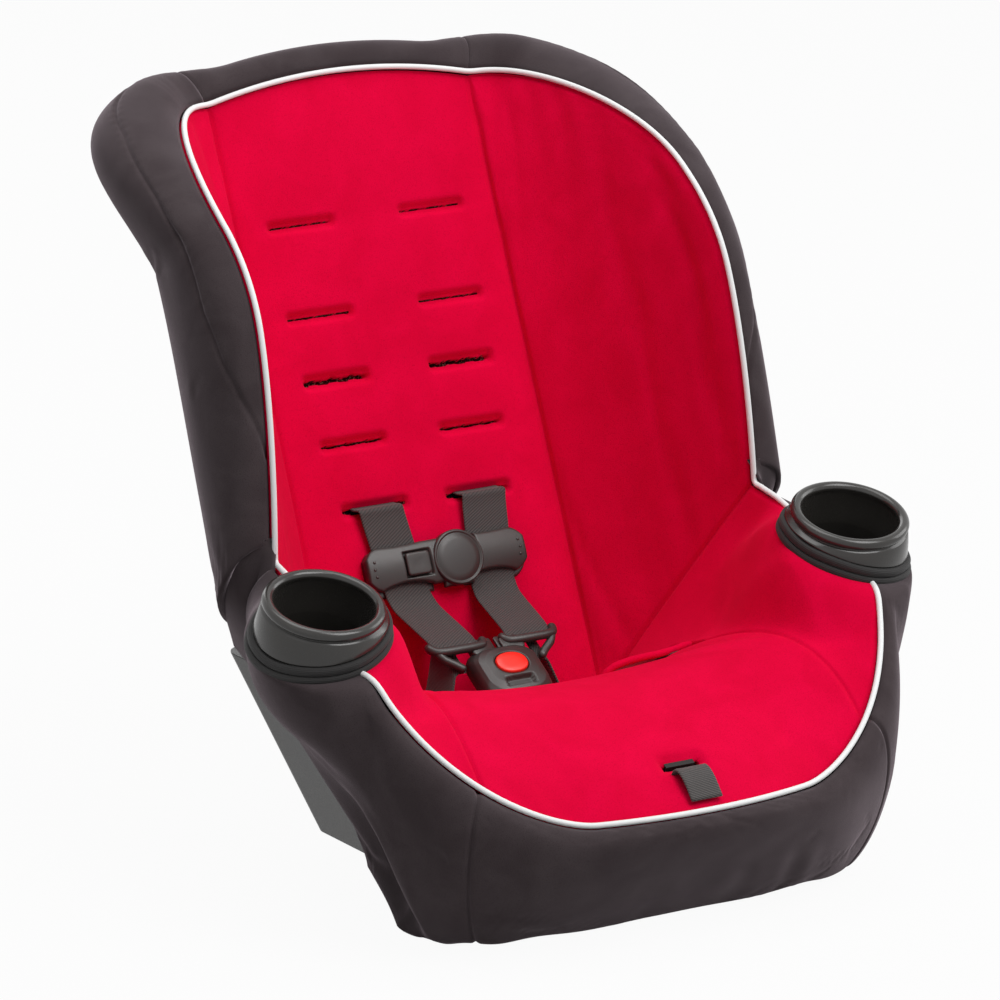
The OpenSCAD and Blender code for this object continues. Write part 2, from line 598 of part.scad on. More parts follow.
// Adjuster lock under the front of the shell: housing, lever on its pin, return spring
lock_w = adjuster_slot.x - 2;
lock_top = -shell_far - gap;
pin_r = 2.5;
pin_at = [5, lock_top - 7];
module lock_axis() translate([0, pin_at.x, pin_at.y]) rotate([0, 90, 0]) children();
module adjuster_housing() color("silver") in_adjuster() difference() {
    translate([-lock_w / 2, -11, lock_top - 28]) cube([lock_w, 24, 28]);
    translate([-lock_w / 2 + 3, -9, lock_top - 26]) cube([lock_w - 6, 20, 60]);
    translate([-lock_w / 2 + 2, -9, lock_top - 40]) cube([lock_w - 4, 6, 60]);
    lock_axis() cylinder(r = pin_r, h = lock_w + 2, center = true);
}
module adjuster_pin() color("silver") in_adjuster() lock_axis()
    cylinder(r = pin_r, h = lock_w, center = true);
module adjuster_lever() color("#b8b8b8") in_adjuster() {
    lever_w = lock_w - 8;
    difference() {
        union() {
            lock_axis() cylinder(r = 5, h = lever_w, center = true);
            translate([-lever_w / 2, pin_at.x - 2, pin_at.y]) cube([lever_w, 4, 4 - pin_at.y - 8]);
        }
        lock_axis() cylinder(r = pin_r + pin_gap, h = lock_w + 2, center = true);
    }
}
module adjuster_spring() color("silver") in_adjuster()
    translate([0, pin_at.x, lock_top - 26]) coil(2.6, 0.8, 5, 14);

// A compression spring standing on its lower end
function coil_points(r, turns, h) = [for (i = [0:turns * 12]) let (a = 30 * i)
    [r * cos(a), r * sin(a), h * i / (turns * 12)]];
module coil(r, wire_d, turns, h) translate([0, 0, wire_d / 2 + 0.2]) {
    echo(least_gap_between_turns = (h - wire_d - 0.4) / turns - wire_d);
    tube(coil_points(r, turns, h - wire_d - 0.4), wire_d / 2, 6);
}

// Lap straps: from behind the tongue to the slot beside the hip
lap_path = [[harness_point([tongue_pitch / 2, 28, -13.5]), harness_point([0, 1, 0]) - buckle_at],
    [harness_point([tongue_pitch / 2 + 9, 27, -15]), harness_point([0, 1, 0]) - buckle_at],
    [[62, 10, 118], [0, 0.98, 0.2]], [[88, 0, 114], [0, 0.95, -0.3]],
    [[lap_at.x - 18, lap_at.y + 19, 132.5], [0, 0.93, -0.37]], [[lap_at.x - 9, lap_at.y + 6, 142.5], [0, 0.93, -0.37]],
    [[lap_at.x - 2, lap_at.y, 146], [0, 0.98, -0.2]], [[lap_at.x, lap_at.y, 128], [0, 1, 0]],
    [[lap_at.x, lap_at.y, 92], [0, 1, 0]]];
module lap_strap(side) color("#3a3a3c")
    webbing([for (p = lap_path) [flip(p[0], side), side * flip(p[1], side)]], web_w, web_t);

// Tongue: a steel blade in a plastic loop that takes the webbing
blade_t = 2.6;
module tongue(side) color("#333335") in_harness() difference() {
    loop_l = tongue_u[1] - tongue_u[0];
    union() {
        translate([side * (tongue_pitch / 2 - 1), mix(tongue_u[0], tongue_u[1], 0.5), tongue_n - 4])
            plate([46, loop_l, 8], 6);
        translate([side * 11 - 9.5, 12, tongue_n - blade_t / 2]) cube([19, 20, blade_t]);
    }
    translate([side * tongue_pitch / 2 - web_w / 2 - 1.5, strap_end_u - slide_gap, tongue_n - 1.6])
        cube([web_w + 3, 40, 3.2]);
}

// Buckle: housing, red button over its spring, strap through the seat to a steel retainer
buckle_top = 22;
module buckle_housing() color("#2b2b2d") in_harness() difference() {
    translate([0, buckle_top - buckle_l / 2, -buckle_t]) plate([buckle_w, buckle_l, buckle_t], 9);
    translate([0, 0, -11]) plate([button_w + 2 * slide_gap, button_l + 2 * slide_gap, 20], 8 + slide_gap);
    translate([0, 0, -buckle_t + 3]) cylinder(r = 5, h = 20);
    translate([-22, 11.5, tongue_n - blade_t / 2 - slide_gap]) cube([44, 40, blade_t + 2 * slide_gap]);
    translate([-web_w / 2 - slide_gap, buckle_top - buckle_l - 1, -12])
        cube([web_w + 2 * slide_gap, 9, 4]);
}
module buckle_button() color("red") in_harness() translate([0, 0, -6.5])
    plate([button_w, button_l, 8], 8);
module buckle_spring() color("silver") in_harness() translate([0, 0, -buckle_t + 3])
    coil(3.6, 0.9, 5, buckle_t - 9.5 - gap);
crotch_path = [harness_point([0, buckle_top - buckle_l + 7, -10]),
    harness_point([0, buckle_top - buckle_l - 3, -10]), [0, crotch_y, crease_z + 24], [0, crotch_y, crease_z]];
module crotch_strap() color("#3a3a3c") webbing([for (p = crotch_path) [p, across_x]], web_w, web_t);
module crotch_retainer() color("silver") translate([0, crotch_y, crease_z + 1]) difference() {
    plate([web_w + 28, 20, 2.5], 5);
    translate([0, 0, -1]) plate([web_w + 1.2, web_t + 1, 5], 1);
}

// Chest clip: two halves on the straps, the right one latched into the left, and its push tab
clip_slot = [web_w + 5, 3];
clip_mid = strap_x(0.62);
clip_front = 7.5;
disc_x = 8;
prong = [32, 14, 2.2];
prong_z = 3.4;
tab_x = -25;
tab = [22, 15, 2.8];
tab_travel = 2;
module clip_bars(side, inner_x) {
    end = clip_l / 2;
    rear = 2;
    translate([side > 0 ? inner_x : -end, -clip_h / 2, clip_slot.y / 2]) {
        translate([(end - inner_x) / 2, clip_h / 2, 0])
            plate([end - inner_x, clip_h, clip_front - clip_slot.y / 2], 7);
    }
    translate([side * (clip_mid + clip_slot.x / 2 + end) / 2, 0, -clip_slot.y / 2 - rear])
        plate([end - clip_mid - clip_slot.x / 2, clip_h - 12, clip_slot.y + rear + 1], 3);
    translate([side * (clip_mid - clip_slot.x / 2 + end) / 2, 0, -clip_slot.y / 2 - rear])
        plate([end - clip_mid + clip_slot.x / 2, clip_h - 12, rear], 3);
}
module clip_left_half() color("#454548") in_clip() difference() {
    union() {
        clip_bars(-1, -disc_x);
        translate([disc_x, 0, clip_slot.y / 2]) cylinder(d = clip_disc, h = clip_front + 2 - clip_slot.y / 2);
    }
    translate([disc_x - 12, -prong.y / 2 - slide_gap, prong_z - slide_gap])
        cube([60, prong.y + 2 * slide_gap, prong.z + 2 * slide_gap]);
    translate([tab_x, 0, clip_front - tab.z - 0.6]) plate([tab.x + 2 * slide_gap, tab.y + 2 * slide_gap, 10], 3);
}
module clip_right_half() color("#454548") in_clip() {
    difference() {
        clip_bars(1, disc_x + 14);
        translate([disc_x, 0, 0]) cylinder(d = clip_disc + 2 * slide_gap, h = 40);
    }
    translate([disc_x - 10, -prong.y / 2, prong_z]) cube([prong.x + 4, prong.y, prong.z]);
}
module clip_push_tab() color("#454548") in_clip() translate([tab_x, 0, clip_front - tab.z + 1.6])
    plate(tab, 2.6);

base();
seat_shell();
shell_screws();
wing_foam(-1);  // left_wing_foam
wing_foam(1);  // right_wing_foam
back_pad();
wing_pad(-1);  // left_wing_pad
wing_pad(1);  // right_wing_pad
seat_pad();
bolster_pad(-1);  // left_bolster_pad
bolster_pad(1);  // right_bolster_pad
border(steps(-top_share, top_share, 10));  // top_border
border(side_places(-1, border_end));  // left_border
border(side_places(1, border_end));  // right_border
skirt(3, 4 - skirt_start, 14);  // left_skirt
skirt(skirt_start, 1, 14);  // right_skirt
skirt(1, 3, 18);  // front_skirt
upper_piping();
lower_piping();
cup_band(-1);  // left_cup_band
cup_band(1);  // right_cup_band
cup(-1);  // left_cup
cup(1);  // right_cup
shoulder_strap(-1);  // left_shoulder_strap
shoulder_strap(1);  // right_shoulder_strap
lap_strap(-1);  // left_lap_strap
lap_strap(1);  // right_lap_strap
tongue(-1);  // left_tongue
tongue(1);  // right_tongue
buckle_housing();
buckle_button();
buckle_spring();
crotch_strap();
crotch_retainer();
clip_left_half();
clip_right_half();
clip_push_tab();
strap_tail(-1);  // left_strap_tail
strap_tail(1);  // right_strap_tail
splitter_plate();
adjuster_strap();
adjuster_tail();
adjuster_housing();
adjuster_lever();
adjuster_pin();
adjuster_spring();
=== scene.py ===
import math

import bpy
import numpy as np
from mathutils import Matrix, Vector


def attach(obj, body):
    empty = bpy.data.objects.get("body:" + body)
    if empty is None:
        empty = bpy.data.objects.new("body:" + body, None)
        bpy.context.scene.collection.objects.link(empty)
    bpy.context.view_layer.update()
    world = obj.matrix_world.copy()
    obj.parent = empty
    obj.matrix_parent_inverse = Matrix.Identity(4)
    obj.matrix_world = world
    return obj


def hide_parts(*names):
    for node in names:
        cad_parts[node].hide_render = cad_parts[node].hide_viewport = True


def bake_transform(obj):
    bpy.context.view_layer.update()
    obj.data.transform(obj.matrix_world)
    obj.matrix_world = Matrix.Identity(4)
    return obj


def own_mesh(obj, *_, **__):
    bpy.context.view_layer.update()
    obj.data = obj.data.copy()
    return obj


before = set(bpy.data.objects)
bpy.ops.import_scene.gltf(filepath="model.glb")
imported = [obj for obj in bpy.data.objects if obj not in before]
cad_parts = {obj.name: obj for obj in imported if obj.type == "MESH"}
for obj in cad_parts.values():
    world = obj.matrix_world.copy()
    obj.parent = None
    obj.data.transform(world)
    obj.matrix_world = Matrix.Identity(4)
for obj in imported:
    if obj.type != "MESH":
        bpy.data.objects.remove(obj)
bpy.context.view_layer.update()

# Base and shell: the tub that stands on the car's bench and the bucket screwed onto it, both
# injection moulded in dark grey polypropylene with a fine eroded grain and a soft gloss.


def linear(hex_colour):
    srgb = [int(hex_colour[i : i + 2], 16) / 255 for i in (1, 3, 5)]
    return (*[c / 12.92 if c <= 0.04045 else ((c + 0.055) / 1.055) ** 2.4 for c in srgb], 1.0)


def add(tree, kind, inputs, **settings):
    """Adds a shader node, sets its properties, and sets or links its inputs."""
    node = tree.nodes.new("ShaderNode" + kind)
    for name, value in settings.items():
        setattr(node, name, value)
    for name, value in inputs.items():
        if isinstance(value, bpy.types.NodeSocket):
            tree.links.new(value, node.inputs[name])
        else:
            node.inputs[name].default_value = value
    return node


def finish_named(name, **sockets):
    """A new material with its main shader's sockets set. Returns it, its tree and that shader."""
    material = bpy.data.materials.new(name)
    material.use_nodes = True
    shader = material.node_tree.nodes["Principled BSDF"]
    for socket, value in sockets.items():
        shader.inputs[socket.replace("_", " ")].default_value = value
    return material, material.node_tree, shader


def feed(shader, **sources):
    """Links the outputs of other nodes to a main shader's sockets."""
    for socket, source in sources.items():
        shader.id_data.links.new(source, shader.inputs[socket.replace("_", " ")])


def grained_skin(name, colour, worn, rough, grain_mm, grain_depth, shine=0.5):
    """A hard skin with a fine grain, as moulded plastic and phosphated steel have: an even colour that
    wear lightens in soft patches, and a grain that breaks up the gloss."""
    patch_mm = 55
    material, tree, shader = finish_named(name, IOR=1.49, Roughness=rough, Specular_IOR_Level=shine)
    place = add(tree, "TexCoord", {}).outputs["Object"]
    grain = add(tree, "TexNoise", {"Vector": place, "Scale": 1000 / grain_mm, "Detail": 3.0, "Roughness": 0.6})
    patches = add(tree, "TexNoise", {"Vector": place, "Scale": 1000 / patch_mm, "Detail": 4.0})
    wear = add(tree, "MapRange", {"Value": patches.outputs["Fac"], "From Min": 0.42, "From Max": 0.72})
    tint = add(tree, "Mix", {0: wear.outputs["Result"], 6: linear(colour), 7: linear(worn)}, data_type="RGBA")
    gloss = add(tree, "MapRange", {"Value": grain.outputs["Fac"], "From Min": 0.3, "From Max": 0.7,
        "To Min": rough - 0.07, "To Max": rough + 0.09})
    relief = add(tree, "Bump", {"Height": grain.outputs["Fac"], "Strength": 0.35, "Distance": grain_depth / 1000})
    feed(shader, Base_Color=tint.outputs[2], Roughness=gloss.outputs["Result"], Normal=relief.outputs["Normal"])
    return material


def dress(material, *nodes):
    """Gives solids of the frame their material."""
    for node in nodes:
        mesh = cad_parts[node].data
        mesh.materials.clear()
        mesh.materials.append(material)


# The eroded grain is about 0.5 mm, drawn at 0.9 mm so that it shows.
dress(grained_skin("moulded polypropylene", "#211f1e", "#282624", 0.42, 0.9, 0.12, 0.3), "base", "seat_shell")

# Screws of the base, the splitter plate, the retainer and the adjuster: zinc-plated steel,
# turned or punched, with a dull silver skin that clouds a little, over about 6 mm.
plated_steel, tree, shader = finish_named("zinc plated steel", Metallic=1.0, Roughness=0.32)
place = add(tree, "TexCoord", {}).outputs["Object"]
cloud = add(tree, "TexNoise", {"Vector": place, "Scale": 1000 / 6, "Detail": 5.0}).outputs["Fac"]
tint = add(tree, "Mix", {0: cloud, 6: linear("#a9abad"), 7: linear("#c6c8ca")}, data_type="RGBA")
gloss = add(tree, "MapRange", {"Value": cloud, "To Min": 0.22, "To Max": 0.46})
feed(shader, Base_Color=tint.outputs[2], Roughness=gloss.outputs["Result"])
dress(plated_steel, "shell_screws", "splitter_plate", "crotch_retainer", "adjuster_pin", "adjuster_spring",
    "buckle_spring")
# The adjuster's lock and lever are steel phosphated black: a dry dark grey with a faint mottle.
dress(grained_skin("black phosphated steel", "#161514", "#1e1d1b", 0.6, 1.2, 0.05, 0.3), "adjuster_housing",
    "adjuster_lever")

# Padded cover: six panels of red brushed knit, flame-laminated to foam and sewn together over the
# shell. The foam swells between the seams, and each seam pulls a groove.
hands = ((-1, "left"), (1, "right"))
back_angle = math.radians(22)
back_h, top_rise, panel_w, back_crown = 491.0, 14.0, 226.0, 2.0
crease_y, crease_z, crease_run = 48.0, 85.0, 108.0
wing_depth, wing_peak, wing_span, wing_corner = 172.0, 297.0, 388.0, 118.0
arm_h, arm_depth, arm_span = 128.0, 131.0, 408.0
rim_span, rim_reach, rim_z, rim_drop, seat_pull = 434.0, 140.0, 97.0, 125.0, 244.0
rim_y, cup_seam, front_seam, low_seam = -150.0, 8.0, 42.5, 66.0
pad_t, edge_t, gap, step = 12.0, 4.0, 0.3, 0.01
wing_crowd, corner_round, wing_swell, arm_fall, rim_curve = 1.3, 0.45, 0.78, 1.6, 1.55
foam_pressure, foam_growth, seam_deep, seam_wide = 3.0, 0.0005, 1.6, 2.6


def point(x, y, z):
    return np.stack(np.broadcast_arrays(np.asarray(x, float), y, z), -1)


def mix(a, b, t):
    return a + (b - a) * t


def spread(a):
    return np.asarray(a, float)[..., None]


def bez2(a, b, c, t):
    t = spread(t)
    return a * (1 - t) ** 2 + 2 * b * t * (1 - t) + c * t**2


def bez3(a, b, c, d, t):
    t = spread(t)
    return a * (1 - t) ** 3 + 3 * b * t * (1 - t) ** 2 + 3 * c * t**2 * (1 - t) + d * t**3


def ease(t):
    t = np.clip(t, 0, 1)
    return t * t * (3 - 2 * t)


def sin_d(a):
    return np.sin(np.radians(a))


def cos_d(a):
    return np.cos(np.radians(a))


def sided(sign, p):
    """A point of the right half, or its mirror image where sign is -1."""
    return point(sign * p[..., 0], p[..., 1], p[..., 2])


def on_back(p):
    """A point given across the seat, up along the back and forward of the back panel."""
    s, c = math.sin(back_angle), math.cos(back_angle)
    return point(p[..., 0], crease_y + p[..., 1] * s - p[..., 2] * c, crease_z + p[..., 1] * c + p[..., 2] * s)


def wing_rim(v):
    """A wing's edge from the top of the back at v 0 down to the arm at 1, in the back's measures."""
    h = back_h - (back_h - arm_h) * np.maximum(v, 0) ** wing_crowd
    down, rest = back_h - h, back_h - arm_h - wing_corner
    x = (panel_w / 2 + (wing_span - panel_w) / 2 * sin_d(90 * np.minimum(1, down / wing_corner)) ** corner_round
        + (arm_span - wing_span) / 2 * np.maximum(0, down - wing_corner) / rest)
    above = wing_depth * np.maximum(0, sin_d(90 * np.minimum(1, down / (back_h - wing_peak)))) ** wing_swell
    below = wing_depth - (wing_depth - arm_depth) * (np.maximum(0, wing_peak - h) / (wing_peak - arm_h)) ** arm_fall
    return point(x, h, np.where(h > wing_peak, above, below))


def front_rim(a):
    """The edge round the front of the seat by its angle, 0 at the side and 90 in the middle."""
    fall = np.maximum(0, (low_seam - a) / (low_seam - cup_seam)) ** rim_curve
    return point(rim_span / 2 * cos_d(a), rim_y - rim_reach * sin_d(a), rim_z + rim_drop * fall)


arm_corner = on_back(wing_rim(np.array(1.0)))
crease_end = on_back(point(panel_w / 2, 0, 0))
crease_pull = on_back(point(panel_w / 2 + 46, arm_h * 0.46, arm_depth * 0.3))
front_corner, front_middle = front_rim(np.array(front_seam)), front_rim(np.array(90.0))


def bolster_rim(w):
    """A bolster's edge: along the arm to the cup for w up to 0.5, then round to the seat's corner at 1."""
    w = np.asarray(w, float)
    along_arm = mix(arm_corner, front_rim(np.array(cup_seam)), spread(np.clip(w / 0.5, 0, 1)))
    return np.where(spread(w < 0.5), along_arm, front_rim(mix(cup_seam, front_seam, (w - 0.5) / 0.5)))


def seat_mid(w):
    """The seat's middle line, from the crease at w 0 over its rise to the front edge at 1."""
    return bez3(point(0, crease_y, crease_z), point(0, crease_y - crease_run, crease_z - 3),
        point(0, front_middle[1] + 172, seat_pull), front_middle, w)


def seat_side(w):
    """The seam between the seat panel and a bolster, along the same way."""
    return bez3(crease_end, point(panel_w / 2 + 7, crease_y - crease_run, crease_z + 62),
        point(front_corner[0] - 2, front_corner[1] + 85, seat_pull - 19), front_corner, w)


def middle_face(u, v):
    """The back panel and the seat panel, u across them."""
    arch, far = 1 - u * u, u * u
    back = on_back(point(u * panel_w / 2, (back_h + top_rise * arch) * (1 - v),
        back_crown * arch * np.maximum(0, sin_d(180 * np.clip(v, 0, 1))) ** 0.5))
    side, mid = seat_side(v - 1), seat_mid(v - 1)
    seat = point(u * side[..., 0], mix(mid[..., 1], side[..., 1], far), mix(mid[..., 2], side[..., 2], far))
    lip = front_rim(np.degrees(np.arccos(np.clip(np.abs(u) * front_corner[0] / (rim_span / 2), 0, 1))))
    short = lip - point(lip[..., 0], *(mix(front_middle[k], front_corner[k], far) for k in (1, 2)))
    return np.where(spread(v <= 1), back, seat + short * spread(ease((v - 1.72) / 0.28)))


def flank_face(t, v):
    """A wing and a bolster, t from their seam out to their edge."""
    rim, seam_h = wing_rim(np.clip(v, 0, 1)), back_h * (1 - v)
    pull = on_back(point(mix(panel_w / 2, rim[..., 0], 0.58), mix(seam_h, rim[..., 1], 0.5), rim[..., 2] * 0.24))
    pull = mix(pull, crease_pull, spread(np.clip(v, 0, 1) ** 6))
    wing = bez2(on_back(point(panel_w / 2, seam_h, 0)), pull, on_back(rim), t)
    w = np.clip(v - 1, 0, 1.05)
    inner, outer = seat_side(w), bolster_rim(w)
    pull = mix(crease_pull, mix(inner, outer, 0.5) + point(8, 0, -8) * spread(1 - w), spread(ease(3 * w)))
    return np.where(spread(v <= 1), wing, bez2(inner, pull, outer, t))


def cover_face(u, v):
    """The cover's outer face: u -1..1 the middle and 1..2 a side, v 0..1 the back and 1..2 the seat."""
    flank = sided(np.sign(u), flank_face(np.abs(u) - 1, v))
    return np.where(spread(np.abs(u) <= 1), middle_face(np.clip(u, -1, 1), v), flank)


def normal_of(face, a, b):
    n = np.cross(face(a, b + step) - face(a, b - step), face(a + step, b) - face(a - step, b))
    return n / np.maximum(np.linalg.norm(n, axis=-1, keepdims=True), 1e-9)


def resample(field, old_a, old_b, new_a, new_b):
    """A field on one grid, read smoothly on another."""
    for axis, old, new in ((0, old_a, new_a), (1, old_b, new_b)):
        x = np.interp(new, old, np.arange(len(old)))
        i = np.clip(x.astype(int), 0, len(old) - 2)
        f = (x - i).reshape([-1 if k == axis else 1 for k in range(3)])
        p0, p1, p2, p3 = (np.take(field, np.clip(i + k, 0, len(old) - 1), axis) for k in (-1, 0, 1, 2))
        field = p1 + 0.5 * f * (p2 - p0 + f * (2 * p0 - 5 * p1 + 4 * p2 - p3 + f * (3 * (p1 - p2) + p3 - p0)))
    return field


def billow(face, a, b, counts, pressure, growth, most, holds=None):
    """How far a sewn sheet moves when the foam behind it swells: a cloth simulation on a coarse grid, held at
    its seams and where holds says. Returns the shift in mm at each of the places a by b, no longer than most."""
    moments = 20
    coarse_a, coarse_b = np.linspace(a[0], a[-1], counts[0]), np.linspace(b[0], b[-1], counts[1])
    at_a, at_b = np.meshgrid(coarse_a, coarse_b, indexing="ij")
    pinned = np.zeros(counts, bool)
    pinned[[0, -1]] = pinned[:, [0, -1]] = True
    if holds:
        pinned |= holds(at_a, at_b)
    grid = face(at_a, at_b)
    at = np.arange(pinned.size).reshape(counts)
    quads = np.stack([at[:-1, :-1], at[:-1, 1:], at[1:, 1:], at[1:, :-1]], -1).reshape(-1, 4)
    mesh = bpy.data.meshes.new("swelling")
    mesh.from_pydata((grid.reshape(-1, 3) / 1000).tolist(), [], quads.tolist())
    sheet = bpy.data.objects.new("swelling", mesh)
    bpy.context.scene.collection.objects.link(sheet)
    sheet.vertex_groups.new(name="seams").add(at[pinned].tolist(), 1.0, "REPLACE")
    cloth = sheet.modifiers.new("cloth", "CLOTH")
    cloth.settings.vertex_group_mass = "seams"
    cloth.settings.quality = 6
    cloth.settings.use_pressure = True
    cloth.settings.uniform_pressure_force = pressure
    cloth.settings.shrink_min = -growth
    cloth.settings.effector_weights.gravity = 0
    cloth.point_cache.frame_end = moments
    for moment in range(1, moments + 1):
        bpy.context.scene.frame_set(moment)
    settled = sheet.evaluated_get(bpy.context.evaluated_depsgraph_get()).data
    places = np.zeros(grid.size, np.float32)
    settled.vertices.foreach_get("co", places)
    shift = places.reshape(grid.shape) * 1000 - grid
    bpy.context.scene.frame_set(1)
    bpy.data.objects.remove(sheet)
    length = np.linalg.norm(shift, axis=-1, keepdims=True)
    return resample(shift * (most * np.tanh(length / most) / np.maximum(length, 1e-9)), coarse_a, coarse_b, a, b)


def run_of(grid, axis=0):
    """How far along a path, or along one way of a grid, each point lies, in mm."""
    return np.insert(np.cumsum(np.linalg.norm(np.diff(grid, axis=axis), axis=-1), axis), 0, 0, axis)


def edge_distance(grid, axes=(0, 1)):
    """How far each point of a grid is from its nearest edge, along the cloth, in mm."""
    far = []
    for axis in axes:
        run = run_of(grid, axis)
        far += [run, np.take(run, [-1], axis) - run]
    return np.minimum.reduce(far)


def hollow(deep, off, wide):
    """A soft groove, by how far each point is off its middle."""
    return deep * np.exp(-((off / wide) ** 2))


def slab(front, back):
    """The points of a slab's two faces, as one list."""
    return np.concatenate([front.reshape(-1, 3), back.reshape(-1, 3)])


def slab_faces(keep):
    """Faces of a closed slab whose two faces are like grids, with walls round what is cut out."""
    rows, cols = keep.shape[0] + 1, keep.shape[1] + 1
    at = np.arange(rows * cols).reshape(rows, cols)
    under = rows * cols
    outer, inner, walls = [], [], []
    ring = np.pad(keep, 1)
    for i, j in zip(*np.nonzero(keep)):
        a, b, c, d = (int(k) for k in (at[i, j], at[i, j + 1], at[i + 1, j + 1], at[i + 1, j]))
        outer.append((a, b, c, d))
        inner.append((under + d, under + c, under + b, under + a))
        for m, n, there in ((a, b, ring[i, j + 1]), (b, c, ring[i + 1, j + 2]), (c, d, ring[i + 2, j + 1]),
                (d, a, ring[i + 1, j])):
            if not there:
                walls.append((n, m, under + m, under + n))
    return outer + inner + walls


def flipped(faces, when=True):
    """The faces turned over, where when says so, as a mirror image needs."""
    return [f[::-1] for f in faces] if when else faces


def piece(name, points, faces, material, body, node=None, uv=None):
    """A mesh in the seat's frame, from points in mm. It rides on a body, stands for a node and has a slot's finish."""
    used = np.unique(np.concatenate([np.asarray(f) for f in faces]))
    number = np.full(len(points), -1)
    number[used] = np.arange(len(used))
    mesh = bpy.data.meshes.new(name)
    mesh.from_pydata((points[used] / 1000).tolist(), [], [[int(number[k]) for k in f] for f in faces])
    mesh.polygons.foreach_set("use_smooth", [True] * len(mesh.polygons))
    if uv is not None:
        corner = np.zeros(len(mesh.loops), np.int32)
        mesh.loops.foreach_get("vertex_index", corner)
        layer = mesh.uv_layers.new(name="threads")
        layer.data.foreach_set("uv", uv[used][corner].astype(np.float32).ravel())
    mesh.materials.append(material)
    obj = bpy.data.objects.new(name, mesh)
    bpy.context.scene.collection.objects.link(obj)
    if body:
        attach(obj, body)
    if node:
        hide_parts(node)
    return obj


def napped_knit(name, colour, lit, deep, nap_mm, sheen, bloom, rough):
    """Brushed knit on foam: a short nap that stands every way, so it scatters light and glows a little at grazing
    angles.
    Its soft strokes where a hand has laid it are painted sheen, lighter towards lit, and the nap's pits are painted
    shade, darker towards deep."""
    stroke_mm = 38
    material, tree, shader = finish_named(name, Roughness=rough, IOR=1.45, Specular_IOR_Level=0.07,
        Sheen_Weight=sheen, Sheen_Roughness=0.4, Sheen_Tint=linear(bloom))
    place = add(tree, "TexCoord", {}).outputs["Object"]
    nap = add(tree, "TexNoise", {"Vector": place, "Scale": 1000 / nap_mm, "Detail": 4.0, "Roughness": 0.65})
    strokes = add(tree, "TexNoise", {"Vector": place, "Scale": 1000 / stroke_mm, "Detail": 3.0, "Distortion": 0.6})
    lay = add(tree, "MapRange", {"Value": strokes.outputs["Fac"], "From Min": 0.35, "From Max": 0.68})
    # Painted sheen: the soft strokes lean to lit, a lit copy of the knit's colour.
    tone = add(tree, "Mix", {0: lay.outputs["Result"], 6: linear(colour), 7: linear(lit)}, data_type="RGBA")
    # Painted shade: the nap's pits lean to deep, a shaded copy of the knit's colour.
    pit_shade = add(tree, "MapRange", {"Value": nap.outputs["Fac"], "From Min": 0.48, "From Max": 0.3, "To Max": 0.55})
    tint = add(tree, "Mix", {0: pit_shade.outputs["Result"], 6: tone.outputs[2], 7: linear(deep)}, data_type="RGBA")
    relief = add(tree, "Bump", {"Height": nap.outputs["Fac"], "Strength": 0.5, "Distance": nap_mm / 2500})
    feed(shader, Base_Color=tint.outputs[2], Normal=relief.outputs["Normal"])
    return material


# The nap is about 0.4 mm, drawn at 1.1 mm so that it shows.
# Its colours are the red, a lit copy for the painted sheen in the strokes, and a shaded copy for the painted shade in
# the pits.
red_brushed_knit = napped_knit("red brushed knit on foam", "#d20034", "#db013a", "#b20028", 1.1, 0.16, "#ff4a70",
    0.95)

# Painted shade in the slits: a near-black red, matt, speckled with paler tufts of about 1.5 mm, given to the slits'
# faces in place of the shade inside them.
slit_painted_shade, tree, shader = finish_named("painted shade in slits", Roughness=1.0, Specular_IOR_Level=0.1)
place = add(tree, "TexCoord", {}).outputs["Object"]
tufts = add(tree, "TexNoise", {"Vector": place, "Scale": 1000 / 1.5, "Detail": 3.0})
speck = add(tree, "MapRange", {"Value": tufts.outputs["Fac"], "From Min": 0.55, "From Max": 0.66})
tint = add(tree, "Mix", {0: speck.outputs["Result"], 6: linear("#2a0a0d"), 7: linear("#8f6258")}, data_type="RGBA")
feed(shader, Base_Color=tint.outputs[2])

# Cups' axes, and the room round them that the cover leaves
cup_x, cup_y, cup_z, cup_tilt = 223.5, -135.0, 253.0, math.radians(19)
cup_floor, cup_neck, cup_room, neck_room = -76.0, -40.0, 46.0, 40.0
band_mid, band_slant, band_hem, draw_reach = -21.5, 10.5, 11.0, 34.0


def in_cup(p, side):
    """A point in a cup's own measures, with z up its axis from the middle of its rim."""
    d = p - np.array([side * cup_x, cup_y, cup_z])
    s, c = math.sin(cup_tilt), math.cos(cup_tilt)
    return point(d[..., 0], c * d[..., 1] + s * d[..., 2], c * d[..., 2] - s * d[..., 1])


def out_of_cup(p, side):
    """A point given in a cup's own measures."""
    s, c = math.sin(cup_tilt), math.cos(cup_tilt)
    return point(p[..., 0], c * p[..., 1] - s * p[..., 2], c * p[..., 2] + s * p[..., 1]) + np.array(
        [side * cup_x, cup_y, cup_z])


def band_height(x, r, side):
    """Where a cup's elastic band starts below its rim: higher on the side of the seat, lower outside."""
    return band_mid - side * band_slant * x / np.maximum(r, 1e-6)


def tucked_round_cup(grid, side, slack=0.0):
    """Draws a sheet near a cup up or down to the cup's elastic band, and the points that would lie in the cup's
    room out to its edge. Returns the grid and which points were inside."""
    q = in_cup(grid, side)
    r = np.hypot(q[..., 0], q[..., 1])
    lift = band_height(q[..., 0], r, side) - band_hem - q[..., 2]
    near = 1 - ease((r - cup_room - 3) / (draw_reach + slack / 150 * np.maximum(lift, 0)))
    z = q[..., 2] + lift * near * (1 - ease((lift - slack) / 46))
    edge = np.where(z > cup_neck - 20, cup_room, neck_room + 4.0 * np.clip((z + 66) / 26, -0.5, 1))
    inside = (r < edge) & (z > cup_floor)
    out = np.where(inside, edge / np.maximum(r, 1e-6), 1.0)
    return out_of_cup(point(q[..., 0] * out, q[..., 1] * out, z), side), inside


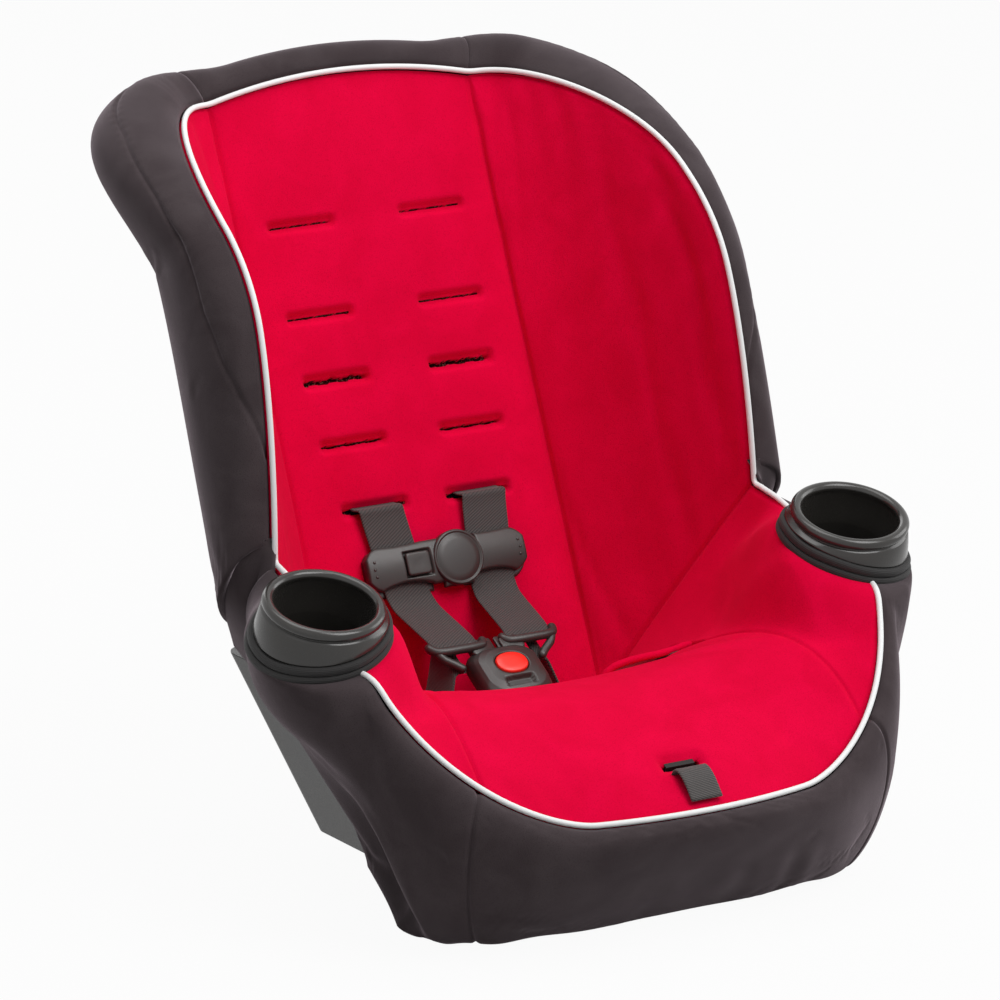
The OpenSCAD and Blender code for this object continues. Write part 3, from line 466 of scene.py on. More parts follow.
def slab_round_cup(front, back, side, slack=0.0):
    """Both faces of a slab drawn to a cup's band, and which of its cells lie in the cup's room."""
    front, gone = tucked_round_cup(front, side, slack)
    back, gone_too = tucked_round_cup(back, side, slack)
    gone = gone & gone_too
    return front, back, gone[:-1, :-1] & gone[1:, :-1] & gone[:-1, 1:] & gone[1:, 1:]


def as_given(u, v):
    return v


def cover_panel(node, us, vs, most, holds=None, dents=None, cut=None, slits=None, level=as_given, side=0):
    """One sewn panel: its face, swollen between its seams, a groove along each seam, and its foam behind.
    Where cut says so it is open right through, and where slits say so its faces are painted dark, as painted shade in
    the slits."""
    shift = billow(lambda u, v: cover_face(u, level(u, v)), us, vs, (26, 56), foam_pressure, foam_growth, most,
        holds and (lambda u, v: holds(u, level(u, v))))
    u, v = np.meshgrid(us, vs, indexing="ij")
    v = level(u, v)
    base = cover_face(u, v)
    inset = 3 * step
    out = normal_of(cover_face, np.clip(u, inset - 2, 2 - inset), np.clip(v, inset, 2 - inset))
    thick = mix(edge_t, pad_t, ease(np.minimum.reduce([(2 - np.abs(u)) / 0.25, v / 0.08, (2 - v) / 0.12])))
    front = base + shift - out * spread(hollow(seam_deep, edge_distance(base), seam_wide))
    back = base - out * spread(thick)
    if dents:
        front = front - out * spread(np.minimum(dents(u, v), thick - 0.6))
    middle = (u[:-1, :-1] + u[1:, 1:]) / 2, (v[:-1, :-1] + v[1:, 1:]) / 2
    keep = np.ones(middle[0].shape, bool)
    if cut:
        keep &= ~cut(*middle)
    if side:
        free = spread(ease((np.abs(u) - 1) / 0.35))
        drawn, drawn_back, lost = slab_round_cup(front, back, side, 45)
        front, back = mix(front, drawn, free), mix(back, drawn_back, free)
        keep &= ~lost
    obj = piece(node + "_cloth", slab(front, back), slab_faces(keep), red_brushed_knit, "seat", node)
    # Painted shade: the slits' faces take the dark material.
    if slits:
        obj.data.materials.append(slit_painted_shade)
        for k in np.nonzero(slits(*middle)[keep])[0]:
            obj.data.polygons[int(k)].material_index = 1


def near_edges(first, last, count):
    """Places from first to last, closer together near both ends."""
    t = np.linspace(0, 1, count)
    return first + (last - first) * mix(t, 0.5 - 0.5 * np.cos(np.pi * t), 0.72)


# Harness slots: welded into the panel, each a dent with a slit along its bottom; the lowest are open for the webbing
slot_rows = [171.0, 222.0, 272.0, 322.0, 393.0]
slot_pitch = [90.0, 103.0, 109.0, 114.0, 114.0]
slit_halves = [1.3, 0.75, 1.5, 0.5, 0.4]
slot_w, dent_h, dent_deep, slit_deep, level_from = 58.0, 5.6, 5.0, 5.5, 415.0
slots = [(side * pitch / 2, row, half) for row, pitch, half in zip(slot_rows, slot_pitch, slit_halves)
    for side in (-1, 1)]


def level_rows(u, v):
    """Rows that run straight across the back panel below its crown."""
    arch, h = 1 - u * u, back_h * (1 - v)
    return 1 - (h + top_rise * arch * ease((h - level_from) / (back_h - level_from))) / (back_h + top_rise * arch)


def off_slots(u, v):
    """How far across and up each place of the back panel is from each slot, with the slit's half height."""
    x, h = u * panel_w / 2, (back_h + top_rise * (1 - u * u)) * (1 - v)
    ragged = 0.3 * np.sin(x * 0.37 + h) + 0.2 * np.sin(x * 1.1)
    return [(np.abs(x - sx), np.abs(h - sh), half, ragged) for sx, sh, half in slots]


def slot_holds(u, v):
    """Where the weld holds the swelling down."""
    return np.any([(x < slot_w / 2) & (h < 8) for x, h, _, _ in off_slots(u, v)], axis=0)


# Where each slot's slit is: a deeper dent, whose faces the cover panel paints dark as painted shade.
def slot_slits(u, v):
    return np.any([(x < slot_w / 2 - 3) & (h < half * (1 + ragged)) for x, h, half, ragged in off_slots(u, v)],
        axis=0)


def slot_dents(u, v):
    deep = 0
    for x, h, half, _ in off_slots(u, v):
        past = np.hypot(np.maximum(0, x - (slot_w / 2 - 4)), np.maximum(0, h - half) * 0.85)
        deep = np.maximum(deep, dent_deep * (1 - ease(past / dent_h)))
    return deep + slit_deep * slot_slits(u, v)


def strap_openings(u, v):
    """Where the shoulder straps go through."""
    return np.any([(x < 20.5) & (h < 2.5) for x, h, _, _ in off_slots(u, v)[:2]], axis=0)


fine = np.array([0.7, 1.4, 2.1, 2.9, 3.8, 4.8, 6, 7.4, 9, 11])
fine_rows = np.concatenate([np.concatenate([-fine[::-1], [0], fine]) + h for h in slot_rows])
even_rows = np.array([h for h in near_edges(0, back_h, 130) if np.abs(fine_rows - h).min() > 2])
heights = np.sort(np.concatenate([fine_rows, even_rows]))[::-1]
cover_panel("back_pad", near_edges(-1, 1, 150), 1 - heights / back_h, 2.2, slot_holds, slot_dents, strap_openings,
    slot_slits, level_rows)

# Wings and bolsters; each bolster has a slit beside the hip for the lap strap, with a lip of the knit turned up
# round it
lap_x, lap_y, lap_half_w, lap_half = 127.0, -46.0, 2.5, 21.0


def lap_past(u, v):
    """How far each place is outside the lap strap's slit, and the place itself."""
    p = cover_face(u, v)
    return np.hypot(np.maximum(0, np.abs(np.abs(p[..., 0]) - lap_x) - lap_half_w),
        np.maximum(0, np.abs(p[..., 1] - lap_y) - lap_half)), p


# Where the lap slit is; the cover panel paints its faces dark as painted shade.
def lap_slits(u, v):
    return (lap_past(u, v)[0] < 0.6) & (v > 1)


def lap_dents(u, v):
    past, p = lap_past(u, v)
    lip = hollow(4.5, past - 5.5, 3.5) * (np.abs(p[..., 0]) < lap_x) * ease((p[..., 1] + 75) / 30)
    return np.where(v > 1, 8 * (1 - ease(past / 5)) - lip, 0)


for side, hand in hands:
    cover_panel(hand + "_wing_pad", side * near_edges(1, 2, 70)[::side], near_edges(0.0005, 1, 130), 4.0)
    cover_panel(hand + "_bolster_pad", side * near_edges(1, 2, 110)[::side], near_edges(1, 2, 180), 3.0,
        dents=lap_dents, slits=lap_slits, side=side)

# Seat panel, with slots for the crotch strap and the adjuster's webbing
crotch_y, pull_y = -38.0, -253.5


def seat_slots(u, v):
    p = cover_face(u, v)
    crotch = (np.abs(p[..., 0]) < 22) & (np.abs(p[..., 1] - crotch_y) < 5)
    pull = (np.abs(p[..., 0]) < 14.5) & (np.abs(p[..., 1] - pull_y) < 2.4)
    return (crotch | pull) & (v > 1)


def seat_dents(u, v):
    p = cover_face(u, v)
    deep = 0
    for half, y, reach, most in ((20, crotch_y, 5, 9), (14, pull_y, 3, 5)):
        past = np.hypot(np.maximum(0, np.abs(p[..., 0]) - half), np.maximum(0, np.abs(p[..., 1] - y) - reach))
        deep = np.maximum(deep, most * (1 - ease(past / 7)))
    return deep * (v > 1)


cover_panel("seat_pad", near_edges(-1, 1, 130), near_edges(1, 2, 150), 4.0, None, seat_dents, seat_slots)

# Dark border and skirt: a smooth charcoal knit on thin foam, rolled over the edges of the back and
# wings, and hung as a skirt from the seat's piping to a hem drawn in under the shell.
skirt_t, border_roll, border_depth, arm_droop, wing_back = 6.0, 35.0, 50.0, 50.0, 99.0
edge_deep, tuck_in, tuck_up, tuck_reach = 1.3, 2.8, 3.6, 5.0
top_share, border_end = 0.3, 0.98
hem_span, hem_reach, hem_z, hem_wave, hem_start = 362.0, 87.0, 6.0, 1.5, -22.0
# Its colours are the charcoal, a lit copy for the painted sheen in the strokes, and a shaded copy for the painted
# shade in the pits.
charcoal_knit = napped_knit("charcoal knit on foam", "#3a3234", "#443c3e", "#2c2526", 0.9, 0.6, "#c9bac2", 0.85)


def border_rim(s):
    """The edge that the border is sewn to: half the top for s up to top_share, then down the wing to 1."""
    s = np.asarray(s, float)
    x = s / top_share
    top = point(x * panel_w / 2, back_h + top_rise * (1 - x * x), 0)
    return np.where(spread(s <= top_share), top, wing_rim(np.clip((s - top_share) / (1 - top_share), 0, 1)))


def border_out(s):
    """The way out of the border's edge, eased round its corner."""
    wide, out = hollow(0.055, s - top_share, 0.07), 0
    for k in np.linspace(-1, 1, 9):
        d = border_rim(np.minimum(1, s + k * wide + step)) - border_rim(np.clip(s + k * wide - step, 0, 1))
        out = out + point(-d[..., 1], d[..., 0], 0) / spread(np.hypot(d[..., 0], d[..., 1]))
    return out / np.linalg.norm(out, axis=-1, keepdims=True)


def half_border(s, t):
    """The border's right half, from its seam at t 0, rolled over the edge, to behind the back at 1."""
    out = border_out(s)
    rim = border_rim(s) + out * (edge_t + gap)
    low, corner = ease((s - 0.37) / 0.26), ease((s - 0.2) / 0.29)
    droop = point(0, -arm_droop * ease((s - 0.7) / 0.3), 0)
    full = border_roll * mix(mix(1, 3.6, corner), 2.1, low)
    round_back = point(rim[..., 0], rim[..., 1], mix(-border_depth * mix(1, 0.36, corner), wing_back, low))
    upper = point(rim[..., 0], rim[..., 1], -border_depth * 1.1) - out * border_roll * 0.97
    behind = mix(upper, point(panel_w / 2 + 26, rim[..., 1], -border_depth * 0.64), spread(low))
    return on_back(bez3(rim, rim + out * border_roll + point(0, 0, 6),
        round_back + out * spread(full) + droop, behind + droop, t))


def border_face(s, t):
    return sided(np.where(s < 0, -1.0, 1.0), half_border(np.abs(s), t))


def hem(w):
    """The skirt's hem: w 0..1 along a side and 1..2 round the front to its middle."""
    a = np.where(w <= 1, mix(hem_start, front_seam, w), mix(front_seam, 90, w - 1))
    wave = hem_wave * sin_d(a * 12)
    rear = mix(point(hem_span / 2, rim_y, hem_z), point(145, -42, 18), spread(a / hem_start))
    rear = rear + point(wave, 0, wave / 2)
    c = np.clip(a, 0, 90)
    front = point((hem_span / 2 + wave) * np.maximum(cos_d(c), 0) ** 0.5,
        rim_y - (hem_reach + wave) * sin_d(c) ** 0.5, hem_z + wave)
    return np.where(spread(a < 0), rear, front)


def half_skirt(w, t):
    """The skirt's right half, from its seam at t 0 to the hem at 1, held out round the cup."""
    turn = np.where(w <= 1, mix(0, front_seam, ease((w - 0.3) / 0.7)), mix(front_seam, 90, w - 1))
    out = point(cos_d(turn), -sin_d(turn), 0)
    near_cup = ease(np.maximum(0, 1 - np.abs(w - 0.31) / 0.31))
    along, rear = ease(w / 0.5), 1 - ease(w / 0.4)
    round_front = front_rim(np.clip(mix(front_seam, 90, w - 1), 0, 90))
    top = np.where(spread(w <= 1), bolster_rim(np.clip(w, 0, 1)), round_front)
    top = top + out * spread(edge_t + gap + skirt_t * mix(0.4, 1.1, rear))
    high = top + out * spread(25 + 154 * near_cup) - point(0, 0, 6) + point(7, 65, -48) * spread(rear)
    low = (hem(w) + out * spread(mix(26, 34, along) - 118 * near_cup)
        + point(0, mix(-38, 0, along), mix(72, 30, along) + 22 * near_cup))
    return bez3(top, high, low, hem(w), t)


def skirt_face(w, t):
    return sided(np.where(w > 2, -1.0, 1.0), half_skirt(np.where(w > 2, 4 - w, w), t))


def dark_sheet(node, places, across, most, pressure, growth, creases=None, skirt=False, round_cups=False):
    """A sewn dark panel: a sheet on thin foam, swollen a little and creased where cloth is spare. A skirt's
    upper edge is tucked under the piping."""
    face, ends, seam, tuck = (skirt_face, (0, 4), 1.8, 1.0) if skirt else (border_face, (-1, 1), 0.6, 0.0)
    shift = billow(face, places, across, (70, 26), pressure, growth, most)
    a, t = np.meshgrid(places, across, indexing="ij")
    base = face(a, t)
    inset = 3 * step
    inward = normal_of(face, np.clip(a, ends[0] + inset, ends[1] - inset), np.clip(t, inset, 1 - inset))
    groove = hollow(edge_deep, edge_distance(base, [1]), 2.4) + hollow(seam, edge_distance(base, [0]), 2.0)
    if creases:
        groove = groove + creases(a, t, base)
    under_piping = (inward * tuck_in + point(0, 0, tuck_up)) * spread(hollow(tuck, run_of(base, 1), tuck_reach))
    front = base + shift + inward * spread(groove) + under_piping
    back = base + inward * (skirt_t - 0.5)
    keep = np.ones((len(places) - 1, len(across) - 1), bool)
    for side in (-1, 1) if round_cups else ():
        front, back, lost = slab_round_cup(front, back, side)
        keep &= ~lost
    obj = piece(node + "_cloth", slab(front, back), flipped(slab_faces(keep)), charcoal_knit, "seat", node)


def border_seam(a, t, base):
    """The seam that splits a side border into a band along the piping and a panel behind it, with small puckers."""
    line = np.interp(np.abs(a), [0.3, 0.385, 0.438, 0.532, 0.612, 0.699, 0.765, 0.82, 0.856, 0.885, 0.9],
        [0.62, 0.448, 0.352, 0.312, 0.33, 0.34, 0.271, 0.154, 0.057, 0.0, -0.1])
    per_t = np.linalg.norm(np.gradient(base, axis=1), axis=-1) / np.gradient(t, axis=1)
    off = np.abs(t - line) * per_t
    return hollow(1.7, off, 2.2) + hollow(0.1 * np.sin(run_of(base) / 1.6), off - 4, 4)


def hem_folds(w, t, base):
    """Spare cloth over the hem, in soft upright folds at the front right."""
    where = hollow(1.0, w - 1.72, 0.26) * ease((t - 0.45) / 0.3) * (1 - ease((t - 0.93) / 0.07))
    x = base[..., 0] + 0.25 * base[..., 2]
    return where * (0.9 * np.sin(x / 6.5) + 0.35 * np.sin(x / 3.7 + 1.0))


dark_sheet("top_border", near_edges(-top_share, top_share, 110), near_edges(0, 1, 60), 3.0, -3.0, 0.0)
down_side = top_share + (border_end - top_share) * np.linspace(0, 1, 190) ** 1.35
over_seam = np.concatenate([near_edges(0, 0.5, 84), near_edges(0.5, 1, 30)[1:]])
for side, hand in hands:
    dark_sheet(hand + "_border", (side * down_side)[::side], over_seam, 2.0, -2.0, 0.0, border_seam)
for node, first, last in (("right_skirt", 0.02, 1), ("left_skirt", 3, 3.98)):
    dark_sheet(node, near_edges(first, last, 150), near_edges(0, 1, 110), 3.0, -2.0, 0.0005, skirt=True,
        round_cups=True)
dark_sheet("front_skirt", near_edges(1, 3, 240), near_edges(0, 1, 90), 4.0, -2.0, 0.0015, hem_folds, skirt=True)

# Gusset: a narrow piece of the same knit sewn between the lower end of each border and the skirt,
# 2.5 mm thick and pulled hollow in its middle.
gusset_t, gusset_in, gusset_hollow, gusset_foot = 2.5, 3.0, 7.0, point(195, 68, 168)
border_low, skirt_rear = 0.972, 0.035
for side, hand in hands:
    t, q = np.meshgrid(np.linspace(0, 1, 60), np.linspace(0, 1, 24), indexing="ij")
    low = half_skirt(np.full_like(t, skirt_rear), 0.5 * np.minimum(1, t / 0.7))
    low = mix(low, gusset_foot, spread(ease((t - 0.5) / 0.4)))
    gusset = mix(half_border(np.full_like(t, border_low), 0.8 * t), low, spread(q)) - point(gusset_in, 0, 0)
    pulled = gusset_hollow * np.sin(np.pi * q) * ease(t * 3) * (1 - ease((t - 0.4) / 0.4))
    gusset = gusset - point(1, 0, 0) * spread(pulled)
    points = sided(side, slab(gusset, gusset - point(gusset_t, 0, 0)))
    faces = flipped(slab_faces(np.ones((59, 23), bool)), side > 0)
    obj = piece(hand + "_gusset_cloth", points, faces, charcoal_knit, "seat")

# Piping: a white polyester cord wrapped in tape and sewn into the seam between red and charcoal,
# once round the back and arms and once round the front of the seat.
piping_r, piping_off, piping_lift, front_drop = 2.15, 2.15, 3.1, 0.9
piping_tape, tree, shader = finish_named("white piping tape", Roughness=0.5, IOR=1.46, Sheen_Weight=0.1)
# The tape's threads lie about 0.6 mm apart and slant round the cord, a fine texture on a smooth white.
# A wave's bands lie pi / 10 apart at scale 1, so a spacing in mm makes a scale of 100 pi / mm.
threads = add(tree, "UVMap", {}, uv_map="threads").outputs["UV"]
slant = add(tree, "Mapping", {"Vector": threads, "Rotation": (0, 0, math.radians(35))}).outputs["Vector"]
wrap = add(tree, "TexWave", {"Vector": slant, "Scale": 100 * math.pi / 0.6, "Distortion": 0.4}).outputs["Fac"]
tint = add(tree, "Mix", {0: wrap, 6: linear("#dedfdf"), 7: linear("#e9eaea")}, data_type="RGBA")
relief = add(tree, "Bump", {"Height": wrap, "Strength": 0.2, "Distance": 0.0001})
feed(shader, Base_Color=tint.outputs[2], Normal=relief.outputs["Normal"])


def unit(v):
    return v / np.linalg.norm(v, axis=-1, keepdims=True)


def circle(count):
    return np.linspace(0, 2 * np.pi, count + 1)[:-1]


def skin_faces(rings, count, inward=False, capped=True):
    """Faces of a closed skin through rings of count points, capped at both ends or joined back to its start."""
    faces = []
    for i in range(rings - capped):
        for k in range(count):
            j, m = (i + 1) % rings, (k + 1) % count
            faces.append((i * count + k, i * count + m, j * count + m, j * count + k))
    if capped:
        faces += [tuple(range(count))[::-1], tuple(range((rings - 1) * count, rings * count))]
    return [(f[0], *f[:0:-1]) for f in faces] if inward else faces


def round_rings(path, side, girth, sides):
    """Rings of points round a path, side being a way square off it at each place."""
    up, turn = np.cross(side, unit(np.gradient(path, axis=0))), circle(sides)[None, :, None]
    out = side[:, None] * np.cos(turn) + up[:, None] * np.sin(turn)
    return (path[:, None] + spread(spread(girth)) * out).reshape(-1, 3)


def unrolled(along, around):
    """Length and girth as a UV in metres."""
    return np.stack(np.broadcast_arrays(along[:, None], around[None]), -1).reshape(-1, 2) / 1000


def piping(node, path, sides):
    """A round cord along a path, closed at both ends, which doesn't twist."""
    side = np.zeros_like(path)
    ways = unit(np.gradient(path, axis=0))
    last = np.cross(ways[0], [0.3, 0.5, 0.81])
    for i, way in enumerate(ways):
        side[i] = last = unit(last - way * np.dot(last, way))
    piece(node + "_cord", round_rings(path, side, np.full(len(path), piping_r), sides), skin_faces(len(path), sides),
        piping_tape, "seat", node, unrolled(run_of(path), circle(sides) * piping_r))


def eased_path(path, every=1.6, reach=3):
    """A path with even steps and its corners eased."""
    run = run_of(path)
    even = np.linspace(0, run[-1], int(run[-1] / every))
    path = np.stack([np.interp(even, run, path[:, k]) for k in range(3)], 1)
    padded = np.concatenate([path[:1]] * reach + [path] + [path[-1:]] * reach)
    return np.mean([padded[k : k + len(path)] for k in range(2 * reach + 1)], axis=0)


crowded = np.concatenate([np.linspace(0, 0.295, 60), 0.3 + 0.7 * np.linspace(0, 1, 240) ** 1.8])
back_run = on_back(border_rim(crowded) + border_out(crowded) * piping_off + point(0, 0, piping_lift))
arm_run = bolster_rim(np.linspace(0.02, 0.26, 24)) + point(piping_off, 0, piping_lift)
half_run = np.concatenate([back_run, tucked_round_cup(arm_run, 1)[0]])
piping("upper_piping", eased_path(np.concatenate([sided(-1, half_run[:0:-1]), half_run])), 14)
turns = np.linspace(10, 170, 270)
lower_run = front_rim(np.minimum(turns, 180 - turns))
lower_run = lower_run + point(np.abs(cos_d(turns)), -sin_d(turns), 0) * (piping_off + front_drop)
lower_run = sided(np.sign(90.0001 - turns), lower_run) + point(0, 0, piping_lift - front_drop)
for side in (-1, 1):
    lower_run, _ = tucked_round_cup(lower_run, side)
piping("lower_piping", eased_path(lower_run), 12)

# Cup bands: woven elastic sewn to the cover in two layers, gathered tight round each cup's neck.
# Its ribs lie about 0.9 mm apart along the band; they are drawn at 1.3 mm so that they show.
elastic, tree, shader = finish_named("woven black elastic", Roughness=0.75, IOR=1.45, Sheen_Weight=0.06)
threads = add(tree, "UVMap", {}, uv_map="threads").outputs["UV"]
ribs = add(tree, "TexWave", {"Vector": threads, "Scale": 100 * math.pi / 1.3, "Distortion": 0.3},
    bands_direction="Y").outputs["Fac"]
tint = add(tree, "Mix", {0: ribs, 6: linear("#100f0f"), 7: linear("#1d1b1b")}, data_type="RGBA")
relief = add(tree, "Bump", {"Height": ribs, "Strength": 0.5, "Distance": 0.0004})
feed(shader, Base_Color=tint.outputs[2], Normal=relief.outputs["Normal"])


def lathe(name, profile, turns, side, material, body, node, aslant):
    """A closed ring or cup turned about a cup's axis from a profile of (radius, height) in mm, then set aslant."""
    profile, turn = np.asarray(profile, float), circle(turns)
    r, z = aslant(*(np.repeat(profile[:, k, None], turns, 1) for k in (0, 1)), turn[None], side)
    points = out_of_cup(point(r * np.cos(turn), r * np.sin(turn), z), side).reshape(-1, 3)
    uv = unrolled(run_of(profile), turn * profile[:, 0].max())[:, ::-1]
    piece(name, points, skin_faces(len(profile), turns, capped=False), material, body, node, uv)


def drawn_tight(r, z, turn, side):
    """The band lies aslant round its cup and waves a little where it is sewn."""
    wave = 0.5 * np.sin(3 * turn + 0.6) + 0.35 * np.sin(7 * turn)
    level = band_height(np.cos(turn), 1.0, side)
    return r + 0.5 * wave * (r > 46), z + level + (0.5 * wave + 0.4 * np.sin(5 * turn)) * (r > 46)


band_in, band_top, band_low, roll_r = 40.2, -0.2, -13.6, 3.4
layers = [(reach - roll_r + roll_r * np.cos(b) ** 0.6, z + roll_r * np.sin(b))
    for z, reach in ((-10.2, 52.8), (-3.6, 51.4)) for b in np.radians(np.linspace(-90, 90, 13))]
for side, hand in hands:
    lathe(hand + "_cup_band_elastic", [(band_in, band_low), *layers, (band_in, band_top)], 256, side, elastic, "seat",
        hand + "_cup_band", drawn_tight)

# Cup holders: lift-out cups moulded in black ABS, glossy, with a rolled rim and a flared collar
# that sits on the elastic.
gloss_abs = grained_skin("moulded black ABS", "#2b2927", "#302e2b", 0.2, 0.5, 0.01, 0.5)
rim_r, rim_mid, collar_top = 4.2, 40.8, -9.5
rolled = [(rim_mid + rim_r * np.cos(b), -rim_r + rim_r * np.sin(b)) for b in np.radians(np.linspace(-62, 205, 34))]
inside = [(36.9, -8.0), (36.4, -14.0), (35.0, -21.0), (33.6, -28.0), (33.1, -30.3), (33.0, -31.0), (33.0, -45.0),
    (33.0, -61.0), (32.4, -62.9), (31.0, -63.5), (15.0, -63.5), (0.6, -63.5), (0.02, -63.5)]
outside = [(0.02, -66.0), (0.6, -66.0), (33.5, -66.0), (34.9, -65.6), (35.5, -64.4), (39.3, -41.2), (39.5, -40.0),
    (39.5, -12.5), (40.4, -11.5), (42.0, -14.0), (46.0, -28.6), (46.4, -29.6), (47.2, -30.0), (48.0, -29.6),
    (48.2, -28.6), (46.8, -18.0), (45.3, -10.2), (44.6, -9.0), (43.2, -8.4)]


def collar_aslant(r, z, turn, side):
    """The collar's lower edge follows the band."""
    low = (r > 41) & (z < collar_top)
    fall = (band_height(np.cos(turn), 1.0, side) + 30) * np.clip((collar_top - z) / 20, 0, 1)
    return r, np.where(low, z + fall, z)


for side, hand in hands:
    lathe(hand + "_cup_moulding", rolled + inside + outside, 144, side, gloss_abs, hand + "_cup", hand + "_cup",
        collar_aslant)

# Harness webbing: polyester woven as a heavy twill, 38 mm wide, run from the tongues through the
# chest clip and the lowest slots to the splitter behind the back; the adjuster's strap is 26 mm.
# Twill ribs lie 1.9 mm apart on the slant, as the real ones do; the picks across them 0.8 mm.
twill, tree, shader = finish_named("polyester twill webbing", Roughness=0.7, IOR=1.5, Sheen_Weight=0.2,
    Sheen_Roughness=0.5)
threads = add(tree, "UVMap", {}, uv_map="threads").outputs["UV"]
slant = add(tree, "Mapping", {"Vector": threads, "Rotation": (0, 0, math.radians(32))}).outputs["Vector"]
ribs = add(tree, "TexWave", {"Vector": slant, "Scale": 100 * math.pi / 1.9, "Distortion": 0.5,
    "Detail": 1.0}).outputs["Fac"]
picks = add(tree, "TexNoise", {"Vector": threads, "Scale": 1000 / 0.8, "Detail": 2.0}).outputs["Fac"]
weave = add(tree, "Math", {0: picks, 1: 0.5, 2: ribs}, operation="MULTIPLY_ADD")
# Painted shade: the grooves between the twill's ribs are darker than their crests.
tint = add(tree, "Mix", {0: ribs, 6: linear("#131010"), 7: linear("#3e3836")}, data_type="RGBA")
relief = add(tree, "Bump", {"Height": weave.outputs["Value"], "Strength": 0.6, "Distance": 0.0004})
feed(shader, Base_Color=tint.outputs[2], Normal=relief.outputs["Normal"])
web_w, web_t, pull_w, selvedge = 38.0, 1.6, 26.0, 4.5
buckle_at, harness_tilt = np.array([0.0, -12.0, 143.0]), math.radians(32)


def in_harness(p):
    """A point given in the buckle's frame: x across, y up along the harness, z out of the button."""
    p = np.asarray(p, float)
    s, c = math.sin(harness_tilt), math.cos(harness_tilt)
    return buckle_at + point(p[..., 0], p[..., 1] * c - p[..., 2] * s, p[..., 1] * s + p[..., 2] * c)


def smooth_path(points, every=2.5):
    """A path through the points, rounded at each, with a place every few mm."""
    points = np.asarray(points, float)
    ends = np.concatenate([[2 * points[0] - points[1]], points, [2 * points[-1] - points[-2]]])
    run = []
    for i in range(len(points) - 1):
        p0, p1, p2, p3 = ends[i : i + 4]
        f = np.linspace(0, 1, max(2, int(np.linalg.norm((p2 - p1)[:3]) / every) + 1))[:-1, None]
        m1, m2 = 0.35 * (p2 - p0), 0.35 * (p3 - p1)
        run.append(p1 * (2 * f**3 - 3 * f**2 + 1) + m1 * (f**3 - 2 * f**2 + f) + p2 * (3 * f**2 - 2 * f**3)
            + m2 * (f**3 - f**2))
    return np.concatenate(run + [points[-1:]])


def webbing(name, node, path, w=web_w, body=None, lay=None):
    """Flat webbing along a path, with a thick rounded selvedge. lay is the direction across its width."""
    lay = np.repeat([[1.0, 0, 0]], len(path), 0) if lay is None else lay
    both = smooth_path(np.concatenate([path, lay], 1))
    path, lay = both[:, :3], unit(both[:, 3:])
    up = unit(np.cross(unit(np.gradient(path, axis=0)), lay))
    x = np.linspace(-0.5, 0.5, 15) * (w - web_t)
    bulge = 0.5 * web_t * (1 + 0.12 * (np.abs(x) > w / 2 - selvedge))
    half_t, turn = web_t / 2, np.radians([30, 60, 90, 120, 150])
    right = [(w / 2 - half_t + half_t * math.sin(a), half_t * math.cos(a)) for a in turn]
    section = np.array([*zip(x, bulge), *right, *zip(x[::-1], -bulge[::-1]), *[(-a, b) for a, b in right[::-1]]])
    rings = path[:, None] + lay[:, None] * section[None, :, :1] + up[:, None] * section[None, :, 1:]
    faces = skin_faces(len(path), len(section), inward=True)
    uv = unrolled(run_of(path), section[:, 0])
    return piece(name, rings.reshape(-1, 3), faces, twill, body, node, uv)


def metres(p):
    return tuple(float(c) / 1000 for c in np.asarray(p).ravel())


slot_mid = on_back(point(slot_pitch[0] / 2, slot_rows[0], 0))
up_harness = in_harness([0, 1, 0]) - buckle_at
shoulder = np.array([in_harness([31, 27, -7]), in_harness([32.4, 40, -7]),
    *on_back(np.array([[35.3, 87, 16], [36.6, 98, 9.2], [37.4, 105, 8], [43.6, 158, 8]])),
    slot_mid + [0, -9, 1.0], slot_mid, slot_mid + [0, 28, 0]])
lap = np.array([in_harness([31, 28, -13.5]), in_harness([40, 27, -15]), [50, 13, 114], [66, 8, 104], [88, 0, 108],
    [110, -27, 128], [119, -40, 136], [126, -46, 139.5], [128, -46, 126], [128, -46, 92]])
lap_lay = np.array([up_harness, up_harness, [0, 0.95, 0.3], [0, 0.98, 0.1], [0, 0.95, -0.3], [0, 0.93, -0.37],
    [0, 0.93, -0.37], [0, 0.98, -0.2], [0, 1, 0], [0, 1, 0]])
tail = np.array([slot_mid + [0, 28.3, 0], slot_mid + [0, 31, 0],
    *on_back(np.array([[44.7, 163, -30], [39.4, 130, -28], [23, 92.3, -28]]))])
for side, hand in hands:
    strap = webbing(hand + "_shoulder_webbing", hand + "_shoulder_strap", sided(side, shoulder))
    metres(sided(side, on_back(point(36.6, 96, 8))))
    metres(sided(side, in_harness([31, 38, -7])))
    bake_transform(strap)
    strap = webbing(hand + "_lap_webbing", hand + "_lap_strap", sided(side, lap), lay=sided(side, lap_lay) * side)
    metres(sided(side, in_harness([40, 27, -15])))
    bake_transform(strap)
    strap = webbing(hand + "_tail_webbing", hand + "_strap_tail", sided(side, tail))
    metres(sided(side, on_back(point(44, 160, -30))))
    metres(sided(side, on_back(point(23, 96, -28))))
    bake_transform(strap)

adjuster_at, adjuster_tilt = seat_mid(np.array(0.93)), math.radians(30)


def in_adjuster(y, z):
    """A point in the adjuster's frame: y up its slope, z square off it."""
    s, c = math.sin(adjuster_tilt), math.cos(adjuster_tilt)
    return adjuster_at + np.array([0, y * c - z * s, y * s + z * c])


